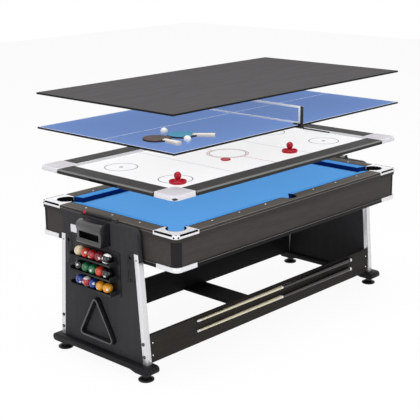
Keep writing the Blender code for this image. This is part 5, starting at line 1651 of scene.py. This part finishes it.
@dataclass
class TennisTop:
    """Table tennis top with its lines, net, clamps, bats and balls."""

    half_length: float = 0.987
    half_width: float = 0.549
    top: float = 1.261
    thickness: float = 0.010
    gap: float = 0.0003
    line_inset: float = 0.0055
    line_width: float = 0.004
    centre_line_width: float = 0.003
    line_rise: float = 0.0002
    net_height: float = 0.106
    net_lift: float = 0.006
    net_reach: float = 0.024
    tape_height: float = 0.012
    cord_radius: float = 0.00047
    cords_across: int = 96
    cords_up: int = 9
    jaw_length: float = 0.040
    jaw_thickness: float = 0.007
    jaw_half_width: float = 0.010
    blade_half: Point2 = (0.078, 0.074)
    blade_neck: Point2 = (0.082, 0.014)
    rubber_end: float = 0.062
    rubber_share: float = 0.99
    grip_height: float = 0.011
    ball_radius: float = 0.020
    ball_places: tuple[Point2, Point2] = ((-0.689, -0.170), (-0.757, -0.413))

    def build(self) -> None:
        """Dress the board and build everything that lies or is clamped on it."""
        band_board("table_tennis_top", "tennis_top", BLUE_PAINT, self.half_length, self.half_width,
                   (self.top - self.thickness, self.top))
        self.build_lines()
        self.build_net()
        self.build_bat(1, (-0.820, -0.250), math.radians(-94), BROWN_RUBBER)
        self.build_bat(2, (-0.667, -0.283), math.radians(-53), BLUE_RUBBER)
        for number, place in enumerate(self.ball_places, start=1):
            self.build_ball(number, place)

    def build_lines(self) -> None:
        """Paint the edge lines and the centre line."""
        zs = (self.top, self.top + self.line_rise)
        x, y, wide = self.half_length - self.line_inset, self.half_width - self.line_inset, self.line_width
        piece = Piece("tennis_lines", "tennis_top", LINE_PAINT)
        for sign in (-1, 1):
            piece.add(block((-x, x), span_of(sign, y - wide, y), zs))
            piece.add(block(span_of(sign, x - wide, x), (-y + wide, y - wide), zs))
        half = self.centre_line_width / 2
        piece.add(block((-x + wide, x - wide), (-half, half), zs)).build()

    def build_net(self) -> None:
        """Knot the net, sew its tapes and clamp its posts over the board's edges."""
        half = self.half_width + self.net_reach - 0.002
        low, high = self.top + self.net_lift, self.top + self.net_height
        cord_top = high - self.tape_height
        net = NetMesh.make(Piece("net_cords", "tennis_top", NET_CORD, ("table_net",)),
                           {"Length": 2 * half, "Height": cord_top - low, "Across": self.cords_across,
                            "Up": self.cords_up, "Cord Radius": self.cord_radius,
                            "Middle Height": (low + cord_top) / 2})
        tape = Piece("net_tapes", "tennis_top", NET_TAPE, bevel=0.0006)
        tape.add(block((-0.0022, 0.0022), (-half, half), (cord_top, high)))
        tape.add(block((-0.0018, 0.0018), (-half, half), (low - 0.001, low + 0.009)))
        for sign in (-1, 1):
            tape.add(block((-0.0026, 0.0026), span_of(sign, half - 0.030, half - 0.012),
                           (low - 0.001, high - 0.001)))
        sewn = tape.build()
        for side in Side:
            self.build_net_post(side)

    def build_net_post(self, side: Side) -> None:
        """Build a black post on its clamp."""
        edge, sign = self.half_width, side.value
        start, end = edge - self.jaw_length, edge + self.net_reach
        over, under = self.top + self.gap, self.top - self.thickness - self.gap
        base = under - self.jaw_thickness
        jaw = [(start, over), (edge + self.gap, over), (edge + self.gap, under), (start, under),
               (start, base), (end - 0.002, base), (end, base + 0.002), (end, over + 0.006),
               (end - 0.002, over + 0.008), (start + 0.002, over + 0.008), (start, over + 0.006)]
        post = [(0.0, 0.007), (0.0085, 0.007), (0.0085, 0.104), (0.0075, self.net_height),
                (0.0, self.net_height)]
        piece = Piece(f"net_post_{side.name}", "tennis_top", BLACK_PLASTIC, bevel=0.0008)
        half = self.jaw_half_width
        piece.add(prism([(sign * y, z) for y, z in jaw], Axis.X, (-half, half)))
        piece.add(turned(post, Axis.Z, (0.0, sign * (end - 0.010), self.top), 32)).build()

    def build_bat(self, number: int, place: Point2, turn: float, rubber: Finish) -> None:
        """Build a bat: plywood blade between rubber sheets and a flared grip.

        Args:
            number: Which bat.
            place: Middle of its blade.
            turn: Turn about the vertical.
            rubber: Finish of its upper sheet.
        """
        move = Matrix.Translation((*place, self.top + self.gap)) @ Matrix.Rotation(turn, 4, "Z")
        outline = self.blade_outline()
        sheet = [(x * self.rubber_share, y * self.rubber_share) for x, y in outline]
        sheet = [point for point in sheet if point[0] < self.rubber_end]
        name = f"paddle_{number}"
        piece = Piece(f"{name}_blade", name, rubber, (name,), bevel=0.0004)
        # The blade's edge is painted dark as shade.
        for shell, finish in ((prism(outline, Axis.Z, (0.0078, 0.0142)), SHADED_BLADE_EDGE),
                              (prism(sheet, Axis.Z, (0.0142, 0.0160)), rubber),
                              (prism(sheet, Axis.Z, (0.0060, 0.0078)), BROWN_RUBBER),
                              (self.grip(), GRIP_WOOD)):
            bmesh.ops.transform(shell, matrix=move, verts=shell.verts)
            piece.add(shell, finish)
        piece.build()

    def blade_outline(self) -> list[Point2]:
        """Outline of a blade: nearly round, drawn in to the grip."""
        (half_long, half_wide), (neck, neck_half), steps = self.blade_half, self.blade_neck, 56
        turns = [math.radians(28 + 304 * i / steps) for i in range(steps + 1)]
        rim = [(half_long * math.cos(t), half_wide * math.sin(t)) for t in turns]
        return [(neck, -neck_half), (neck, neck_half), *rim]

    def grip(self) -> bmesh.types.BMesh:
        """Shape a grip with round sides that flares to its end.

        Returns:
            The closed grip, lying along +X.
        """
        round_share = 0.75
        sizes = ((0.058, 0.0125, 0.0075), (0.066, 0.0135, 0.0100), (0.100, 0.0130, 0.0108),
                 (0.140, 0.0145, 0.0110), (0.172, 0.0190, 0.0110), (0.1775, 0.0185, 0.0100))
        return loft([[(x, y, z + self.grip_height)
                      for y, z in rounded_box(half_y, half_z, min(half_y, half_z) * round_share, 5)]
                     for x, half_y, half_z in sizes])

    def build_ball(self, number: int, place: Point2) -> None:
        """Turn a table tennis ball with its faint seam."""
        full, name, steps, seam_depth = self.ball_radius, f"tennis_ball_{number}", 32, 0.00006
        profile = [(0.0, -full)]
        for i in range(1, steps):
            angle = math.pi * i / steps
            radius = full - seam_depth if i == steps // 2 else full
            profile.append((radius * math.sin(angle), -radius * math.cos(angle)))
        profile.append((0.0, full))
        Piece(f"{name}_shell", name, BALL_WHITE, (name,), smooth_degrees=60).add(
            turned(profile, Axis.Z, (*place, self.top + self.gap + full), 64)).build()


def band_board(node: str, body: str, face: Finish, half_length: float, half_width: float, zs: Span) -> None:
    """Build a top: dark board with a faced upper side and a dark band round its edge.

    Args:
        node: The carried node that it stands for.
        body: The body that it rides on.
        face: Finish of its upper side.
        half_length: Half its length.
        half_width: Half its width.
        zs: Underside and top.
    """
    band, sheet = 0.0045, 0.0008
    core = rounded_box(half_length - band, half_width - band, 0.002, 3)
    rim = rounded_box(half_length, half_width, 0.004, 5)
    board = Piece(f"{node}_board", body, EDGE_BAND, (node,))
    board.add(prism(core, Axis.Z, (zs[0] + SINK, zs[1] - sheet)))
    board.add(prism(core, Axis.Z, (zs[1] - sheet, zs[1])), face).build()
    ring = carve(prism(rim, Axis.Z, (zs[0], zs[1] - 0.0001)), [prism(core, Axis.Z, grown(zs, OVERRUN))])
    Piece(f"{node}_edge", body, EDGE_BAND, bevel=0.0012).add(ring).build()


@dataclass
class DiningTop:
    """Dining top that lies over the games."""

    half_length: float = 0.986
    half_width: float = 0.543
    top: float = 1.457
    thickness: float = 0.010

    def build(self) -> None:
        """Build the board and its edge band."""
        band_board("dining_top", "dining_top", GREY_TOP, self.half_length, self.half_width,
                   (self.top - self.thickness, self.top))


class BallLook(Enum):
    """Colour of a pool ball, and whether it is a stripe on white."""

    TAN = ("#D9C7A2", False)
    ORANGE_RED = ("#CB3C20", False)
    RED = ("#AC1A22", False)
    MAROON = ("#781822", False)
    BLACK_STRIPE = ("#1A1A1C", True)
    BLACK = ("#151517", False)
    GREEN = ("#11693F", False)
    BLUE = ("#203C8F", False)
    RED_STRIPE = ("#B3202A", True)
    YELLOW = ("#E09A1E", False)


@dataclass
class GameSet:
    """Pool balls, triangle, cues and score beads."""

    ball_radius: float = 0.0286
    ball_squeeze: float = 0.0008
    ball_x: float = -1.0687
    row_offset: float = 0.012
    row_heights: Point3 = (0.640, 0.5575, 0.475)
    stripe_share: Span = (0.30, 0.70)
    spot_angles: tuple[float, ...] = (0.23, 0.18, 0.13, 0.08, 0.04)
    digit_size: float = 0.0085
    digit_rise: float = 0.0002
    cue_length: float = 1.450
    cue_tip: float = -0.658
    cue_y: float = -0.3665
    cue_heights: Point2 = (0.2325, 0.1725)
    cue_radii: Point3 = (0.0062, 0.0105, 0.0145)
    ferrule_length: float = 0.026
    joint_length: float = 0.010
    end_ring: Span = (1.418, 1.430)
    bead_pitch: float = 0.0225
    bead_count: int = 10
    rod_height: float = 0.8465
    rod_x: float = 1.020
    bead_start: float = 0.1327

    def build(self) -> None:
        """Build the rows of balls, the cues, the beads and dress the triangle."""
        look = BallLook
        rows = (
            ((look.TAN, 9), (look.ORANGE_RED, 5), (look.RED, 3), (look.MAROON, 7), (look.BLACK_STRIPE, 15)),
            ((look.BLACK, 8), (look.GREEN, 14), (look.GREEN, 6), (look.ORANGE_RED, 13), (look.BLACK, 4)),
            ((look.BLUE, 2), (look.RED_STRIPE, 11), (look.BLUE, 10), (look.YELLOW, 1), (look.YELLOW, 12)),
        )
        for number, row in enumerate(rows, start=1):
            self.build_row(number, row)
        for number in (1, 2):
            self.build_cue(number)
        for end in End:
            self.build_beads(end)
        dress_node("triangle_rack", GLOSS_BLACK, 0.002, 3)

    def build_row(self, number: int, row: Sequence[tuple[BallLook, int]]) -> None:
        """Build five balls of a shelf with their bands, spots and digits.

        Args:
            number: Which shelf, from the top.
            row: Look and digit of each ball, from the back to the front.
        """
        pitch = 2 * self.ball_radius - self.ball_squeeze
        name = f"ball_row_{number}"
        piece = Piece(f"{name}_balls", name, BALL_WHITE, (name,), smooth_degrees=60)
        marks: list[tuple[Vector, Matrix, int]] = []
        for i, (look, digit) in enumerate(row):
            centre = Vector((self.ball_x, self.row_offset + pitch * (2 - i), self.row_heights[number - 1]))
            tilt = (0.35 * (i % 3 - 1), 0.30 * ((i + number) % 3 - 1), 0.5 * ((i * 2 + number) % 4 - 1.5))
            turn = Euler(tilt, "XYZ").to_matrix().to_4x4()
            colour, striped = look.value
            finish = Finish(f"ball_{look.name.lower()}", colour, 0.12, variation=0.02, relief=0.0, coat=0.4)
            first, last = self.stripe_share
            bands = ((0.0, first, BALL_WHITE), (first, last, finish), (last, 1.0, BALL_WHITE))
            for low, high, look_of_band in bands if striped else ((0.0, 1.0, finish),):
                piece.add(self.zone(centre, turn, low, high), look_of_band)
            marks.append((centre, turn, digit))
        piece.build()
        self.build_marks(name, marks)

    def zone(self, centre: Vector, turn: Matrix, low: float, high: float) -> bmesh.types.BMesh:
        """Turn the part of a ball between two shares of its way from pole to pole.

        Args:
            centre: Middle of the ball.
            turn: How the ball lies.
            low: Share where the zone starts.
            high: Share where it ends.

        Returns:
            The closed zone.
        """
        steps, radius = 24, self.ball_radius - 0.0001
        angles = [math.pi * (low + (high - low) * i / steps) for i in range(steps + 1)]
        profile = [(0.0 if math.sin(t) < 1e-6 else radius * math.sin(t), -radius * math.cos(t))
                   for t in angles]
        if profile[0][0] > 0:
            profile.insert(0, (0.0, profile[0][1]))
        if profile[-1][0] > 0:
            profile.append((0.0, profile[-1][1]))
        shape = turned(profile, Axis.Z, ORIGIN, 48)
        bmesh.ops.transform(shape, matrix=Matrix.Translation(centre) @ turn, verts=shape.verts)
        return shape

    def build_marks(self, name: str, marks: Sequence[tuple[Vector, Matrix, int]]) -> None:
        """Print a white spot with a digit on the outward side of each ball.

        Args:
            name: Body of the row.
            marks: Middle, turn and digit of each ball.
        """
        radius = self.ball_radius
        rim = [(radius * math.sin(t), radius * math.cos(t)) for t in self.spot_angles]
        spots = Piece(f"{name}_spots", name, BALL_WHITE, smooth_degrees=60)
        ink = Piece(f"{name}_digits", name, DARK_PRINT)
        for centre, turn, digit in marks:
            place = Matrix.Translation(centre) @ self.facing(turn)
            cap = turned([(0.0, rim[0][1]), *rim, (0.0, radius)], Axis.Z, ORIGIN, 32)
            bmesh.ops.transform(cap, matrix=place, verts=cap.verts)
            spots.add(cap)
            ink.add(self.digit(digit, place))
        spots.build()
        ink.build()

    def facing(self, turn: Matrix) -> Matrix:
        """Basis whose Z points out of a ball's printed side and whose Y is near its own up."""
        out = (turn @ Vector((-1.0, 0.0, 0.0))).normalized()
        up = (turn @ Vector((0.0, 0.0, 1.0))).normalized()
        across = up.cross(out).normalized()
        return Matrix((across, out.cross(across), out)).transposed().to_4x4()

    def digit(self, value: int, place: Matrix) -> bmesh.types.BMesh:
        """Shape a number as thin raised print on a ball.

        Args:
            value: The number.
            place: Middle of the ball, with Z out of the printed side.

        Returns:
            The closed print.
        """
        text = bpy.data.curves.new("digit", "FONT")
        text.body = str(value)
        text.size = self.digit_size
        text.align_x = "CENTER"
        text.align_y = "CENTER"
        text.extrude = self.digit_rise / 2
        item = new_object("digit", text)
        mesh = plain_mesh(item)
        shape = bmesh.new()
        shape.from_mesh(mesh)
        bmesh.ops.remove_doubles(shape, verts=shape.verts, dist=MERGE_DISTANCE)
        for vert in shape.verts:
            lift = math.sqrt(max(0.0, self.ball_radius ** 2 - vert.co.x ** 2 - vert.co.y ** 2))
            vert.co.z += lift + self.digit_rise
        bmesh.ops.transform(shape, matrix=place, verts=shape.verts)
        bpy.data.objects.remove(item, do_unlink=True)
        bpy.data.meshes.remove(mesh)
        return shape

    def cue_radius(self, distance: float) -> float:
        """Radius of a cue at a distance from its tip."""
        joint = self.cue_length / 2
        tip, middle, butt = self.cue_radii
        if distance < joint:
            return tip + (middle - tip) * distance / joint
        return middle + (butt - middle) * (distance - joint) / joint

    def build_cue(self, number: int) -> None:
        """Turn a cue in its zones: ferrule, shaft, joint, butt, ring and bumper."""
        name, joint = f"cue_{number}", self.cue_length / 2
        centre = (self.cue_tip, self.cue_y, self.cue_heights[number - 1])
        butt, (ring, bumper) = joint + self.joint_length, self.end_ring
        zones = ((0.0, self.ferrule_length, BALL_WHITE, 0.0), (self.ferrule_length, joint, CUE_WOOD, 0.0),
                 (joint, butt, CHROME, 0.0007), (butt, ring, CUE_BUTT, 0.0), (ring, bumper, CHROME, 0.0003),
                 (bumper, self.cue_length, BLACK_PLASTIC, 0.0))
        piece = Piece(f"{name}_shaft", name, CUE_WOOD, (name,), smooth_degrees=40)
        for start, end, finish, proud in zones:
            first, last = self.cue_radius(start) + proud, self.cue_radius(end) + proud
            start_rim = 0.0015 if start == 0.0 else 0.0
            end_rim = 0.0015 if end == self.cue_length else 0.0
            rim = start_rim + end_rim
            profile = [(0.0, start), (first - start_rim, start), (first, start + rim), (last, end - rim),
                       (last - end_rim, end), (0.0, end)]
            piece.add(turned(profile, Axis.X, centre, 32), finish)
        piece.build()

    def build_beads(self, end: End) -> None:
        """Thread the beads on a score rod, the first one red."""
        name = f"score_beads_{end.name}"
        half = self.bead_pitch / 2 - 0.0002
        rise = [(0.0033, 1.0), (0.0062, 1.0), (0.0082, 0.78), (0.0094, 0.4)]
        profile = [(r, -half * z) for r, z in rise] + [(0.0095, 0.0)]
        profile += [(r, half * z) for r, z in reversed(rise)]
        spots = [((end.value * self.rod_x, self.bead_start - self.bead_pitch * (i + 0.5), self.rod_height),
                  (0.0, 1.0, 0.0)) for i in range(self.bead_count)]
        for part, finish, nodes, chosen in (("first", RED_PLASTIC, (name,), spots[:1]),
                                            ("rest", BLACK_PLASTIC, (), spots[1:])):
            Scatter.place(Piece(f"{name}_{part}", name, finish, nodes),
                          turned(profile, Axis.Z, ORIGIN, 32), chosen)


def main() -> None:
    """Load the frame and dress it."""
    logging.basicConfig(level=logging.INFO, format="%(name)s: %(message)s")
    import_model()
    studio = Studio()
    for assembly in (studio, Stand(), Cabinet(), AirHockeyDeck(), TennisTop(), DiningTop(), GameSet()):
        LOG.info("building %s", type(assembly).__name__)
        assembly.build()
    studio.light_layers()


if __name__ == "__main__":
    main()
